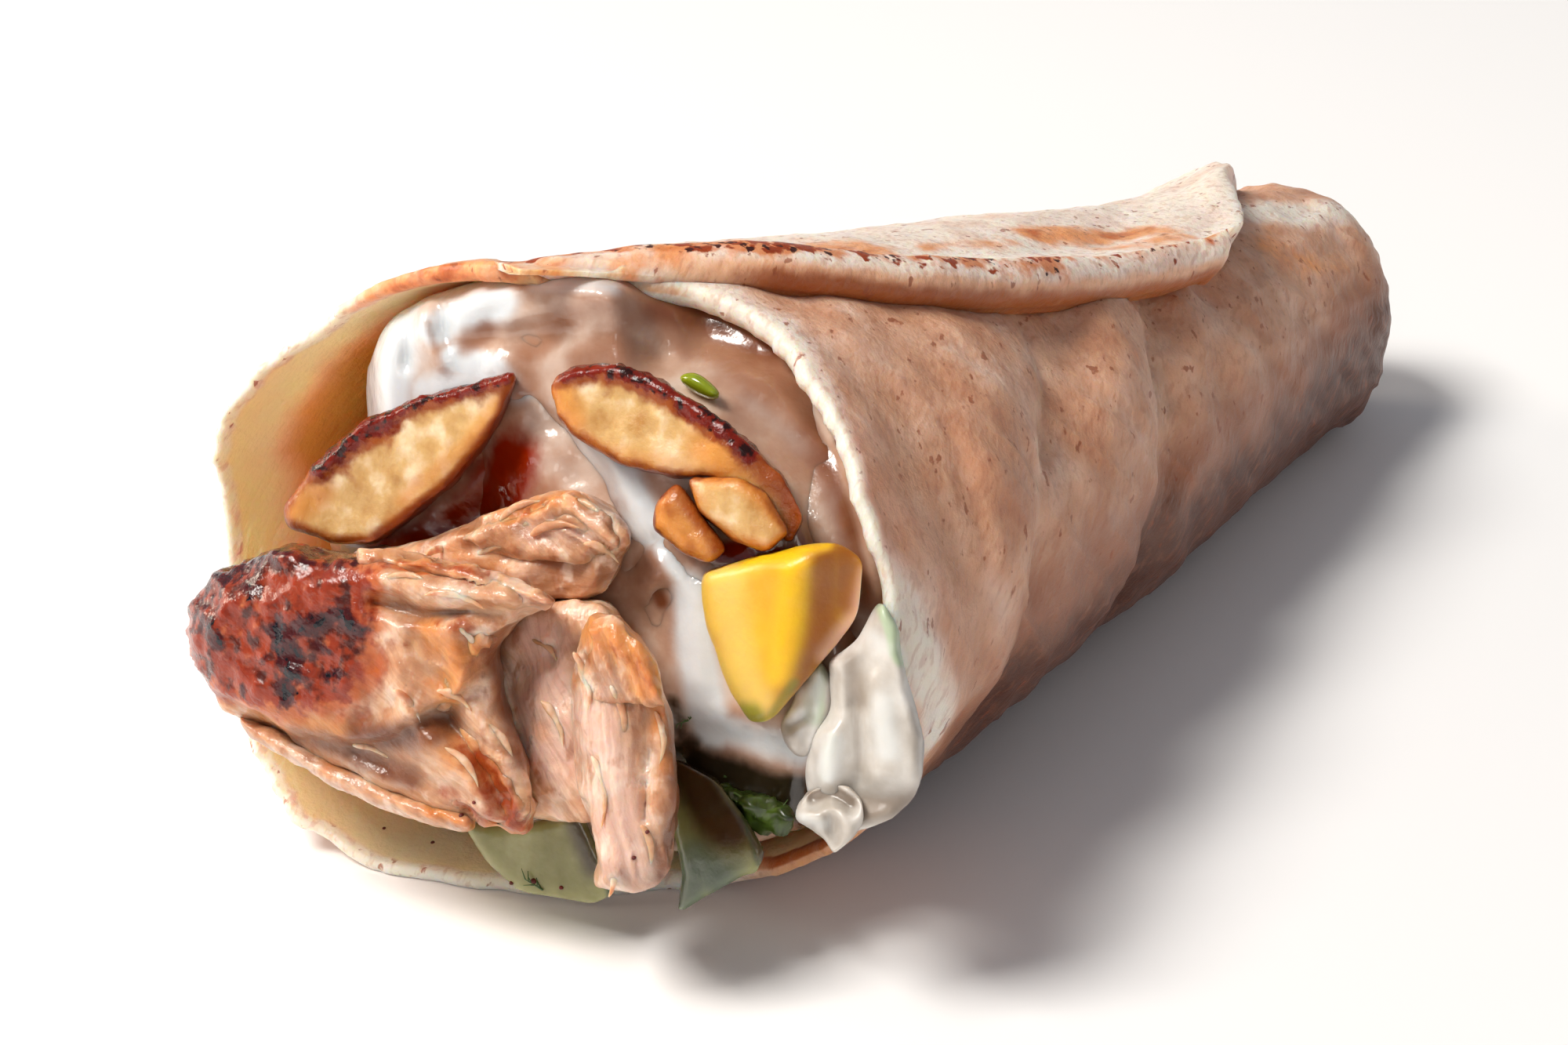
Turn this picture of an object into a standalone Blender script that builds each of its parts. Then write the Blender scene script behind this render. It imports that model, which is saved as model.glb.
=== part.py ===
"""A gyro wrap lying on its side: one flatbread rolled into a cone round grilled chicken, potato wedges,
yellow pepper, cucumber, cabbage and yoghurt sauce. Metres, +Z up, tail towards +X, mouth towards -X."""

import math
from dataclasses import dataclass

import bmesh
import bpy
from mathutils import Matrix, Vector
from mathutils.geometry import intersect_line_line_2d

MM = 0.001

# Driving dimensions of the rolled cone.
MOUTH_WIDTH = 95.5 * MM
MOUTH_HEIGHT = 77 * MM
TAIL_WIDTH = 33 * MM
TAIL_HEIGHT = 37 * MM
CONE_LENGTH = 161 * MM
TAIL_CAP = 17.5 * MM
BREAD = 3.0 * MM
# The room that each piece keeps from its neighbours.
GAP = 0.35 * MM
BREAD_GAP = 0.6 * MM
# The middle of the mouth, placed so that the origin is under the middle of the whole wrap.
MOUTH_MIDDLE = Vector((-78.2 * MM, 1 * MM, 37.75 * MM))
# The cone's ellipse dips this far below the table and is pressed flat there.
PRESSED = 2.4 * MM

# Angles go round the roll: 0 on the near side (-Y), 90 on top, 180 on the far side, 270 on the table.
# The torn rim: angle, and millimetres that it stands behind the mouth's middle.
RIM = ((0, 9), (20, 10), (45, 15), (67, 22), (83, 20), (100, 9), (120, 5), (145, 3), (165, -4),
       (195, -5), (220, -13), (238, -15), (252, -12), (270, -6), (290, 3), (315, 9), (340, 11))
# The cone's rings end in a cap that takes this share of them.
CAP_SHARE = 0.25
CONE_RINGS = 17
CONE_SEGMENTS = 36

# The flap is the outer turn's overlap. Its free edge: millimetres along the cone, and angle.
FREE_EDGE = ((4, 92), (14, 84), (24, 75), (50, 64), (75, 58), (112, 53))
# Its end towards the tail: angle, and millimetres along the cone.
FLAP_END = ((50, 108), (60, 116), (75, 132), (96, 150), (125, 156), (160, 148), (200, 130), (240, 112))
FLAP = 3.4 * MM
FLAP_ROOT = 238
FLAP_RIM = 6 * MM
FLAP_OVERHANG = 1 * MM
FLAP_SINK = 0.9 * MM
# The bread under the flap is pressed in by the flap's thickness, over so many degrees and so much length.
STEP_START = -5
STEP_TURN = 26
STEP_LENGTH = 30 * MM
# The free edge is rolled into a lip this high, centred so many degrees from the edge.
LIP = 2.6 * MM
LIP_CENTRE = 5
LIP_SPREAD = 7
FLAP_CUTS = 11

# The core of mixed filling stands back from the rim, so that the bread's inside shows: angle, millimetres.
CORE_INSET = ((0, 4), (60, 5), (95, 2), (120, 5), (150, 15), (200, 17), (240, 13), (275, 7), (320, 4))
CORE_HOLLOW = 3 * MM
CORE_RINGS = 18
CORE_SEGMENTS = 28
CORE_FACE_SHARE = 0.3

# The pieces are laid out on the mouth's face, which is turned and tipped like this.
FACE_TURN = math.radians(51.2)
FACE_TIP = math.radians(26.9)
# The face slopes back this much for each unit towards the top and towards the far side.
SLOPE_UP = 0.28
SLOPE_FAR = -0.17


@dataclass(frozen=True)
class Finish:
    """The colour (sRGB) and roughness of one food."""

    name: str
    colour: str
    roughness: float = 0.55


BREAD_FINISH = Finish("baked flatbread", "E3CDAE", 0.75)
SAUCE_FINISH = Finish("yoghurt sauce", "EDE2CC", 0.3)
CHARRED_FINISH = Finish("charred chicken", "8E5638", 0.45)
CHICKEN_FINISH = Finish("cooked chicken", "D2AC8B")
POTATO_FINISH = Finish("fried potato", "DDB873")
PEPPER_FINISH = Finish("yellow pepper", "D6A32C", 0.35)
CABBAGE_FINISH = Finish("cabbage in sauce", "E9E0CB", 0.35)
LETTUCE_FINISH = Finish("lettuce", "BFC07A", 0.4)
CUCUMBER_FINISH = Finish("cucumber", "A9AC72", 0.3)
PICKLE_FINISH = Finish("green pickle", "7A7F35", 0.35)


@dataclass(frozen=True)
class Piece:
    """A piece of filling. Its outline is in millimetres across and up the mouth's face, and its middle stands
    proud of the face. It swells to the front and the back of that. Square is 2 for round, more for boxy."""

    name: str
    finish: Finish
    outline: tuple
    proud: float
    front: float
    back: float
    square: float = 2.4


# From the front of the heap to the back: each piece makes room for those before it.
PIECES = (
    Piece("cabbage_leaf", CABBAGE_FINISH,
          ((38, 0.5), (42.5, -11), (43, -21), (38, -24), (34, -28), (30, -24.5), (31.5, -19.5), (29, -14.5),
           (32, -7.5)), proud=1, front=2, back=3),
    Piece("yellow_pepper", PEPPER_FINISH,
          ((19, 3), (30, 6), (36, 5.5), (36.5, -1.5), (30.5, -9), (27, -13.5), (24.5, -14), (22, -9.5)),
          proud=0, front=5, back=9, square=3),
    Piece("potato_wedge_near", POTATO_FINISH,
          ((2, 24), (5, 26.5), (13.5, 25), (24, 17.5), (30.5, 9), (28, 6.5), (21, 13), (10, 15), (3, 20)),
          proud=-2, front=5, back=7, square=3),
    Piece("potato_wedge_far", POTATO_FINISH,
          ((-2, 25.5), (-13.5, 23), (-26.5, 15.5), (-31, 9.5), (-29, 6.5), (-20, 6), (-9.5, 13.5), (-4, 20.5)),
          proud=-2, front=5, back=8, square=3),
    Piece("potato_chunk", POTATO_FINISH,
          ((17.5, 13.5), (23.5, 13.5), (29, 7.5), (26.5, 5.5), (19, 9.5)), proud=1, front=4, back=4, square=3),
    Piece("potato_bit", POTATO_FINISH,
          ((14, 11), (16.5, 13), (22, 5.5), (20, 4), (15, 6)), proud=1, front=4, back=4, square=3),
    Piece("chicken_torn", CHICKEN_FINISH,
          ((6.5, -2), (12, -3.5), (16, -13.5), (16.5, -20.5), (15, -30.5), (7.5, -32), (7.5, -28), (4.5, -15),
           (4.5, -8)), proud=8, front=6, back=8),
    Piece("chicken_charred", CHARRED_FINISH,
          ((-42.5, -4), (-37, 3), (-29, 6.5), (-15.5, 5), (0, 1.5), (-4, -6), (-1, -18), (0.5, -24), (-7, -25.5),
           (-23.5, -20), (-37.5, -14)), proud=9, front=8, back=12),
    Piece("cucumber_far", CUCUMBER_FINISH,
          ((-9.5, -26.5), (5, -24.5), (9, -34), (-2.5, -34.5)), proud=0, front=3, back=5, square=3),
    Piece("cucumber_near", CUCUMBER_FINISH,
          ((15.5, -19), (20.5, -20), (25.5, -30.5), (16.5, -36), (16.5, -28)), proud=-2, front=3, back=5, square=3),
    Piece("chicken_strip", CHICKEN_FINISH,
          ((-12, 6), (-1.5, 11), (4.5, 12.5), (11, 7.5), (7.5, 0), (-5.5, 3)), proud=0, front=5, back=6),
    Piece("chicken_back", CHICKEN_FINISH,
          ((-1.5, -2), (7, -2), (7.5, -24.5), (3.5, -25), (-5.5, -14), (-5, -7)), proud=3, front=5, back=8),
    Piece("chicken_slice", CHICKEN_FINISH,
          ((-37.5, -14.5), (-24, -19.5), (-7.5, -25), (-8, -27.5), (-25, -22.5)), proud=5, front=2, back=2),
    Piece("lettuce_bit", LETTUCE_FINISH,
          ((32.5, -5.5), (33.5, -11), (31.5, -14), (28, -13.5)), proud=-2, front=2, back=2),
    Piece("pickle", PICKLE_FINISH,
          ((15.5, 25), (18.5, 26), (22, 23), (20.5, 21.5)), proud=-5, front=2, back=2),
)
# The sauce that bulges from the core: under the top rim, beside the near wedge and round the pepper.
SAUCE_LOBES = (
    Piece("sauce_top", SAUCE_FINISH,
          ((-19, 30), (-8, 34), (8, 34), (14, 30), (14, 25), (-2, 24), (-20, 22)), proud=-9, front=6, back=5),
    Piece("sauce_middle", SAUCE_FINISH,
          ((8, 16), (13, 14), (20, 0), (24, -16), (17, -14), (13, 0)), proud=-5, front=4, back=4),
    Piece("sauce_low", SAUCE_FINISH,
          ((19, -13), (28, -14), (29, -22), (20, -22)), proud=-7, front=4, back=4),
)
PIECE_SEGMENTS = 20
PIECE_RINGS = 9
# Corners are rounded by reading the outline a little to each side.
CORNER_ROUNDING = math.radians(4)
FAR_AWAY = 200


def smooth_through(points, at):
    """Reads a smooth curve through (position, value) points."""
    at = min(max(at, points[0][0]), points[-1][0])
    i = next(k for k in range(len(points) - 1) if at <= points[k + 1][0])
    before, low, high, after = (points[max(0, min(len(points) - 1, i + k))] for k in (-1, 0, 1, 2))
    span = high[0] - low[0]
    t = (at - low[0]) / span
    start = (high[1] - before[1]) / (high[0] - before[0]) * span
    end = (after[1] - low[1]) / (after[0] - low[0]) * span
    return ((2 * t ** 3 - 3 * t ** 2 + 1) * low[1] + (t ** 3 - 2 * t ** 2 + t) * start
            + (3 * t ** 2 - 2 * t ** 3) * high[1] + (t ** 3 - t ** 2) * end)


def smooth_round(points, angle):
    """Reads a smooth closed curve through (angle in degrees, millimetres) points."""
    last, first = points[-1], points[0]
    return smooth_through(((last[0] - 360, last[1]), *points, (first[0] + 360, first[1])), angle % 360) * MM


def smooth_step(share):
    """Rises gently from 0 to 1 as the share does."""
    share = min(max(share, 0), 1)
    return share * share * (3 - 2 * share)


def under_flap(angle, along):
    """How far the bread is pressed in under the flap."""
    angle %= 360
    edge = smooth_through(FREE_EDGE, along / MM)
    end = smooth_through(FLAP_END, angle) * MM
    start = smooth_step((angle - edge - STEP_START) / STEP_TURN)
    return FLAP * start * smooth_step((FLAP_ROOT - angle) / STEP_TURN) * smooth_step((end - along) / STEP_LENGTH)


def on_roll(angle, along, lift=0.0, size=1.0):
    """A point of the inner turn's outer skin, lifted off it. Past the cone's end the tail keeps its width."""
    share = min(along / CONE_LENGTH, 1)
    wide = (MOUTH_WIDTH + (TAIL_WIDTH - MOUTH_WIDTH) * share) / 2
    tall = (MOUTH_HEIGHT + (TAIL_HEIGHT - MOUTH_HEIGHT) * share) / 2
    turn = math.radians(angle)
    lift -= under_flap(angle, along)
    y = -(wide * size + lift) * math.cos(turn)
    z = tall - PRESSED / 2 + ((tall + PRESSED / 2) * size + lift) * math.sin(turn)
    return Vector((MOUTH_MIDDLE.x + along, MOUTH_MIDDLE.y + y, max(z, -lift, 0)))


def mesh_object(name, bm, collection):
    """A new object in the collection with the bmesh's faces, which face out."""
    bmesh.ops.remove_doubles(bm, verts=bm.verts, dist=1e-6)
    bmesh.ops.recalc_face_normals(bm, faces=bm.faces)
    if bm.calc_volume(signed=True) < 0:
        bmesh.ops.reverse_faces(bm, faces=bm.faces)
    mesh = bpy.data.meshes.new(name)
    bm.to_mesh(mesh)
    bm.free()
    obj = bpy.data.objects.new(name, mesh)
    collection.objects.link(obj)
    return obj


def apply_modifiers(obj):
    """Gives the object the mesh that its modifiers make."""
    bpy.context.view_layer.update()
    made = bpy.data.meshes.new_from_object(obj.evaluated_get(bpy.context.evaluated_depsgraph_get()))
    obj.modifiers.clear()
    obj.data = made


def boolean(obj, other, operation):
    """Cuts the other object from this one, or joins it to this one."""
    modifier = obj.modifiers.new(operation.lower(), "BOOLEAN")
    modifier.solver = "MANIFOLD"
    modifier.operation = operation
    modifier.object = other
    apply_modifiers(obj)


def drop_crumbs(obj):
    """Keeps only the largest of the pieces that a cut has left."""
    bm = bmesh.new()
    bm.from_mesh(obj.data)
    loose = set(bm.verts)
    islands = []
    while loose:
        island = []
        front = [loose.pop()]
        while front:
            vert = front.pop()
            island.append(vert)
            near = {edge.other_vert(vert) for edge in vert.link_edges} & loose
            loose -= near
            front.extend(near)
        islands.append(island)
    islands.sort(key=len)
    bmesh.ops.delete(bm, geom=[vert for island in islands[:-1] for vert in island], context="VERTS")
    bm.to_mesh(obj.data)
    bm.free()


def room_for(obj, cutters, gap=GAP):
    """A cutter of the object's shape, swollen by the gap that a neighbour keeps."""
    copy = bpy.data.objects.new(obj.name + "_room", obj.data.copy())
    cutters.objects.link(copy)
    copy.hide_render = True
    copy.display_type = "WIRE"
    swell = copy.modifiers.new("swell", "DISPLACE")
    swell.mid_level = 0
    swell.strength = gap
    apply_modifiers(copy)
    return copy


def build_cone(collection):
    """The rolled bread: an open tube with a torn rim and a rounded, closed tail."""
    bm = bmesh.new()
    bmesh.ops.create_cone(bm, segments=CONE_SEGMENTS, radius1=1, radius2=1, depth=1, cap_ends=False)
    uprights = [edge for edge in bm.edges if abs(edge.verts[0].co.z - edge.verts[1].co.z) > 0.5]
    bmesh.ops.subdivide_edges(bm, edges=uprights, cuts=CONE_RINGS - 1)
    for vert in bm.verts:
        angle = math.degrees(math.atan2(vert.co.y, vert.co.x))
        share = vert.co.z + 0.5
        bend = max(share - 1 + CAP_SHARE, 0) / CAP_SHARE * math.pi / 2
        start = smooth_round(RIM, angle)
        along = start + (CONE_LENGTH - start) * min(share / (1 - CAP_SHARE), 1) + TAIL_CAP * math.sin(bend)
        vert.co = on_roll(angle, along, size=math.cos(bend))
    cone = mesh_object("flatbread", bm, collection)
    wall = cone.modifiers.new("wall", "SOLIDIFY")
    wall.thickness = BREAD
    apply_modifiers(cone)
    return cone


def build_flap(collection):
    """The outer turn's overlap: a slab over the top and back, with a rolled lip at its free edge."""
    bm = bmesh.new()
    bmesh.ops.create_cube(bm, size=1)
    for axis in (0, 1):
        edges = [edge for edge in bm.edges if abs(edge.verts[0].co[axis] - edge.verts[1].co[axis]) > 0.5]
        bmesh.ops.subdivide_edges(bm, edges=edges, cuts=FLAP_CUTS, use_grid_fill=True)
    for vert in bm.verts:
        length, round_share, outer = (c + 0.5 for c in vert.co)
        round_share **= 1.8
        along = CONE_LENGTH / 2
        for _ in range(6):
            edge = smooth_through(FREE_EDGE, along / MM)
            angle = edge + (FLAP_ROOT - edge) * round_share
            start = min(smooth_round(RIM, angle), FLAP_RIM) - FLAP_OVERHANG
            along = start + (smooth_through(FLAP_END, angle) * MM - start) * length
        lip = LIP * math.exp(-((angle - edge - LIP_CENTRE) / LIP_SPREAD) ** 2)
        rounded = math.sqrt(min((angle - edge) / 4, 1)) * min((FLAP_ROOT - angle) / 40, 1)
        lift = (FLAP + lip) * rounded if outer > 0.5 else -FLAP_SINK
        vert.co = on_roll(angle, along, lift)
    return mesh_object("flap", bm, collection)


def build_core(collection):
    """The mixed filling that runs through the roll, from the hollow of the mouth to the tail."""
    bm = bmesh.new()
    bmesh.ops.create_uvsphere(bm, u_segments=CORE_SEGMENTS, v_segments=CORE_RINGS, radius=1)
    inside = BREAD + 2 * BREAD_GAP
    for vert in bm.verts:
        angle = math.degrees(math.atan2(vert.co.y, vert.co.x))
        share = math.acos(max(-1, min(1, vert.co.z))) / math.pi
        bend = max(share - 1 + CAP_SHARE, 0) / CAP_SHARE * math.pi / 2
        spread = min(share / CORE_FACE_SHARE, 1)
        edge = smooth_round(RIM, angle) + smooth_round(CORE_INSET, angle)
        front = edge * spread ** 2 + CORE_HOLLOW * (1 - spread ** 2)
        run = max(share - CORE_FACE_SHARE, 0) / (1 - CORE_FACE_SHARE - CAP_SHARE)
        along = front + (CONE_LENGTH - front) * min(run, 1) + (TAIL_CAP - inside) * math.sin(bend)
        skin = on_roll(angle, along, -inside)
        axis = on_roll(angle, along, size=0)
        vert.co = axis.lerp(skin, spread * math.cos(bend))
    return mesh_object("sauced_filling", bm, collection)


def face_axes():
    """The directions across, up and out of the face that the pieces are laid out on."""
    turned = Matrix.Rotation(-FACE_TURN, 3, "Z") @ Matrix.Rotation(-FACE_TIP, 3, "X")
    return turned @ Vector((1, 0, 0)), turned @ Vector((0, 0, 1)), turned @ Vector((0, -1, 0))


def on_face(across, up, proud):
    """A point so far across and up, standing proud of the mouth's sloping plane, all in millimetres."""
    right, rise, out = face_axes()
    slope = Vector((1, -SLOPE_FAR, -SLOPE_UP))
    flat = right * across + rise * up
    return MOUTH_MIDDLE + (flat - out * (proud + slope.dot(flat)) / slope.dot(out)) * MM


def reach(outline, centre, turn):
    """How far the outline lies from its centre in a direction."""
    away = centre + Vector((math.cos(turn), math.sin(turn))) * FAR_AWAY
    sides = zip(outline, outline[1:] + outline[:1])
    hits = [intersect_line_line_2d(centre, away, Vector(a), Vector(b)) for a, b in sides]
    return max((hit - centre).length for hit in hits if hit)


def build_piece(collection, piece):
    """A solid of the piece's outline, swollen to its front and back."""
    bm = bmesh.new()
    bmesh.ops.create_uvsphere(bm, u_segments=PIECE_SEGMENTS, v_segments=PIECE_RINGS, radius=1)
    _, _, out = face_axes()
    centre = sum((Vector(point) for point in piece.outline), Vector((0, 0))) / len(piece.outline)
    for vert in bm.verts:
        turn = math.atan2(vert.co.y, vert.co.x)
        turns = (turn - CORNER_ROUNDING, turn, turn + CORNER_ROUNDING)
        radius = sum(reach(piece.outline, centre, t) for t in turns) / 3
        share = vert.co.xy.length ** (2 / piece.square)
        flat = centre + Vector((math.cos(turn), math.sin(turn))) * radius * share
        swell = piece.front if vert.co.z > 0 else piece.back
        height = math.copysign(abs(vert.co.z) ** (2 / piece.square), vert.co.z)
        vert.co = on_face(flat.x, flat.y, piece.proud) + out * (height * swell * MM)
    return mesh_object(piece.name, bm, collection)


def dress(obj, finish):
    """Gives the object its own material and smooth shading, with its cut edges sharp."""
    material = bpy.data.materials.new(finish.name)
    material.use_nodes = True
    shader = material.node_tree.nodes["Principled BSDF"]
    srgb = [int(finish.colour[i:i + 2], 16) / 255 for i in (0, 2, 4)]
    linear = [c / 12.92 if c <= 0.04045 else ((c + 0.055) / 1.055) ** 2.4 for c in srgb]
    shader.inputs["Base Color"].default_value = (*linear, 1)
    shader.inputs["Roughness"].default_value = finish.roughness
    obj.data.materials.clear()
    obj.data.materials.append(material)
    obj.data.shade_smooth()
    obj.data.set_sharp_from_angle(angle=math.radians(40))


def new_collection(name):
    """A collection in the scene."""
    collection = bpy.data.collections.new(name)
    bpy.context.scene.collection.children.link(collection)
    return collection


def main():
    """Builds the wrap: the bread first, then the pieces from front to back, and the core last."""
    for obj in list(bpy.data.objects):
        bpy.data.objects.remove(obj)
    wrap = new_collection("gyro_wrap")
    cutters = new_collection("cutters")
    bread = build_cone(wrap)
    flap = build_flap(wrap)
    boolean(bread, flap, "UNION")
    bpy.data.objects.remove(flap)
    dress(bread, BREAD_FINISH)
    rooms = [room_for(bread, cutters, BREAD_GAP)]
    for piece in PIECES:
        solid = build_piece(wrap, piece)
        whole = room_for(solid, cutters)
        for room in rooms:
            boolean(solid, room, "DIFFERENCE")
        drop_crumbs(solid)
        dress(solid, piece.finish)
        rooms.append(whole)
    core = build_core(wrap)
    for lobe in SAUCE_LOBES:
        sauce = build_piece(wrap, lobe)
        boolean(core, sauce, "UNION")
        bpy.data.objects.remove(sauce)
    for room in rooms:
        boolean(core, room, "DIFFERENCE")
    drop_crumbs(core)
    dress(core, SAUCE_FINISH)


if __name__ == "__main__":
    main()
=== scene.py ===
"""A gyro wrap on its side: one flatbread rolled into a cone round grilled chicken, potato wedges, yellow pepper,
cucumber, cabbage and yoghurt sauce. Sizes are in millimetres and angles in degrees unless a name says otherwise;
meshes are written in metres, +Z up, with the mouth towards -X and the tail towards +X."""

import logging
import math
from dataclasses import dataclass, field
from enum import Enum

import bmesh
import bpy
import numpy as np
from mathutils import Matrix, Vector


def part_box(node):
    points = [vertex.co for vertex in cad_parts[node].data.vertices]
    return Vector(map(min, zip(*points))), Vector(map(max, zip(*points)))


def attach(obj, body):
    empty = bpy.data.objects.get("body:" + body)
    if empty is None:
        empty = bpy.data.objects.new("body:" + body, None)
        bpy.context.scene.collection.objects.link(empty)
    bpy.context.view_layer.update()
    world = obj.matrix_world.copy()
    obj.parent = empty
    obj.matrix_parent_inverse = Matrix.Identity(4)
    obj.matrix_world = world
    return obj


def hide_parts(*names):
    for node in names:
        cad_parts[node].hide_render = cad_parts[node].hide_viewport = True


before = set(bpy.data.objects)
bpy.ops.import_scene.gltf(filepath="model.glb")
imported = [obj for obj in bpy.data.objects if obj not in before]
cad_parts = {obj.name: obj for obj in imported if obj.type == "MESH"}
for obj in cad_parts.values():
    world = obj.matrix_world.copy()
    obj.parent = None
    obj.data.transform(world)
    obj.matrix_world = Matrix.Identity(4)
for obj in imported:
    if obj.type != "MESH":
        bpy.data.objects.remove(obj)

LOG = logging.getLogger("gyro_wrap")
MM = 0.001
FULL_TURN = 360.0
BODY = "root"

Array = np.ndarray
Points = tuple[tuple[float, float], ...]


class Slot(Enum):
    """The material slots that the filling pieces carry."""

    BREAD = "bread"
    SAUCE = "sauce"
    CHICKEN = "chicken"
    POTATO = "potato"
    PEPPER = "pepper"
    CABBAGE = "cabbage"
    LETTUCE = "lettuce"
    CUCUMBER = "cucumber"
    PICKLE = "pickle"


# ---------------------------------------------------------------- measuring and shaping with numbers


def smooth_step(share: Array) -> Array:
    """Rises gently from 0 to 1 as the share does."""
    share = np.clip(share, 0.0, 1.0)
    return share * share * (3.0 - 2.0 * share)


@dataclass(frozen=True)
class Curve:
    """A smooth curve through (position, value) points, which closes on itself after its period if it has one."""

    points: Points
    period: float = 0.0

    def at(self, where: Array) -> Array:
        """Reads the curve.

        Args:
            where: the positions to read it at.

        Returns:
            The curve's value at each position.
        """
        points = self.points
        if self.period:
            last, first = points[-1], points[0]
            points = ((last[0] - self.period, last[1]), *points, (first[0] + self.period, first[1]))
            where = np.mod(where, self.period)
        x, y = np.array(points, float).T
        ends = np.concatenate([[0], np.arange(len(x)), [len(x) - 1]])
        slopes = (y[ends[2:]] - y[ends[:-2]]) / (x[ends[2:]] - x[ends[:-2]])
        where = np.clip(where, x[0], x[-1])
        low = np.clip(np.searchsorted(x, where, side="left") - 1, 0, len(x) - 2)
        span = x[low + 1] - x[low]
        t = (where - x[low]) / span
        rise = smooth_step(t)
        start = (t ** 3 - 2 * t ** 2 + t) * slopes[low] * span
        end = (t ** 3 - t ** 2) * slopes[low + 1] * span
        return y[low] * (1 - rise) + y[low + 1] * rise + start + end


# The directions and gain that scatter the noise's lattice, and the step between one seed's lattice and the next's.
LATTICE = np.array((127.1, 311.7, 74.7))
LATTICE_GAIN = 43758.5453
SEED_STEP = np.array((17.13, 5.71, 29.37))


def noise(points: Array, size: float | tuple[float, float, float], seed: float = 0.0) -> Array:
    """Smooth seeded noise.

    Args:
        points: n by 3 positions in millimetres.
        size: the size of its lumps, which may be given along each axis.
        seed: which of its patterns is read.

    Returns:
        A value from -1 to 1 at each position.
    """
    at = points / np.array(size) + seed * SEED_STEP
    cell = np.floor(at)
    part = at - cell
    ease = part * part * part * (part * (part * 6 - 15) + 10)
    total = np.zeros(len(at))
    for corner in np.ndindex(2, 2, 2):
        scatter = np.sin((cell + corner) @ LATTICE) * LATTICE_GAIN
        weight = np.prod(np.where(corner, ease, 1 - ease), axis=1)
        total += weight * (2 * (scatter - np.floor(scatter)) - 1)
    return total


def lumps(points: Array, size: float | tuple[float, float, float], seed: float = 0.0, octaves: int = 3) -> Array:
    """Noise with finer noise on it, each octave half the size and half the height of the one before."""
    return sum(noise(points, np.array(size) / 2 ** i, seed + i) / 2 ** i for i in range(octaves))


def to_lines(line: Points, across: Array, up: Array) -> Array:
    """How far each place is from a line through the points, in the plane of the two."""
    nearest = np.full(across.shape, np.inf)
    for (x0, y0), (x1, y1) in zip(line, line[1:] or line):
        run, climb = x1 - x0, y1 - y0
        share = ((across - x0) * run + (up - y0) * climb) / max(run * run + climb * climb, 1e-9)
        share = np.clip(share, 0, 1)
        nearest = np.minimum(nearest, np.hypot(across - x0 - share * run, up - y0 - share * climb))
    return nearest


def inside_by(outline: Points, across: Array, up: Array) -> Array:
    """How far inside the closed outline each place is, negative outside it."""
    closed = (*outline, outline[0])
    inside = np.zeros(across.shape, bool)
    for (x0, y0), (x1, y1) in zip(closed, closed[1:]):
        crosses = (y0 > up) != (y1 > up)
        span = y1 - y0 or 1.0
        inside ^= crosses & (across < x0 + (up - y0) / span * (x1 - x0))
    return np.where(inside, 1.0, -1.0) * to_lines(closed, across, up)


def rounded(outline: Points, radius: float) -> Points:
    """The outline with its corners rounded off over about the radius."""
    made = []
    for before, corner, after in zip((outline[-1], *outline[:-1]), outline, (*outline[1:], outline[0])):
        sides = [Vector(end) - Vector(corner) for end in (before, after)]
        cuts = [side * min(radius / max(side.length, 1e-6), 0.45) for side in sides]
        for share in (0.0, 0.25, 0.5, 0.75, 1.0):
            made.append(Vector(corner) + cuts[0] * (1 - share) ** 2 + cuts[1] * share ** 2)
    return tuple((point.x, point.y) for point in made)


@dataclass(frozen=True)
class Stroke:
    """A ridge or groove along a line on a piece's face, or a mark painted there.

    The rise is its height, or a mark's strength; the width is where it has fallen to a third."""

    line: Points
    rise: float
    width: float

    def on(self, across: Array, up: Array) -> Array:
        """What it adds at each place."""
        return self.rise * np.exp(-(to_lines(self.line, across, up) / self.width) ** 2)


@dataclass(frozen=True)
class Raised:
    """A part of a piece's face that stands higher inside an outline, falling to nothing over the edge's width."""

    outline: Points
    rise: float
    edge: float

    def on(self, across: Array, up: Array) -> Array:
        """What it adds at each place."""
        return self.rise * smooth_step(inside_by(rounded(self.outline, 1.5), across, up) / self.edge + 0.5)


def painted(strokes: tuple[Stroke | Raised, ...], across: Array, up: Array) -> Array:
    """The strongest of the marks at each place, from 0 to 1."""
    marks = [stroke.on(across, up) for stroke in strokes]
    return np.clip(np.max(marks, axis=0), 0, 1)


# ---------------------------------------------------------------- meshes


def read_points(mesh: bpy.types.Mesh) -> Array:
    """The mesh's vertex positions, n by 3."""
    flat = np.empty(len(mesh.vertices) * 3, np.float32)
    mesh.vertices.foreach_get("co", flat)
    return flat.reshape(-1, 3).astype(float)


def read_normals(mesh: bpy.types.Mesh) -> Array:
    """The mesh's vertex normals, n by 3."""
    flat = np.empty(len(mesh.vertices) * 3, np.float32)
    mesh.vertex_normals.foreach_get("vector", flat)
    return flat.reshape(-1, 3).astype(float)


def write_points(mesh: bpy.types.Mesh, points: Array) -> None:
    """Moves the mesh's vertices to the positions."""
    mesh.vertices.foreach_set("co", points.astype(np.float32).ravel())
    mesh.update()


def to_mesh(name: str, bm: bmesh.types.BMesh) -> bpy.types.Mesh:
    """A new mesh of the bmesh's faces, which frees it."""
    mesh = bpy.data.meshes.new(name)
    bm.to_mesh(mesh)
    bm.free()
    return mesh


def face_out(mesh: bpy.types.Mesh) -> None:
    """Turns a closed mesh's faces outwards if its volume says that they face in, and shades it smooth."""
    bm = bmesh.new()
    bm.from_mesh(mesh)
    if bm.calc_volume(signed=True) < 0:
        bmesh.ops.reverse_faces(bm, faces=bm.faces)
    bm.to_mesh(mesh)
    bm.free()
    mesh.shade_smooth()


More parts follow.
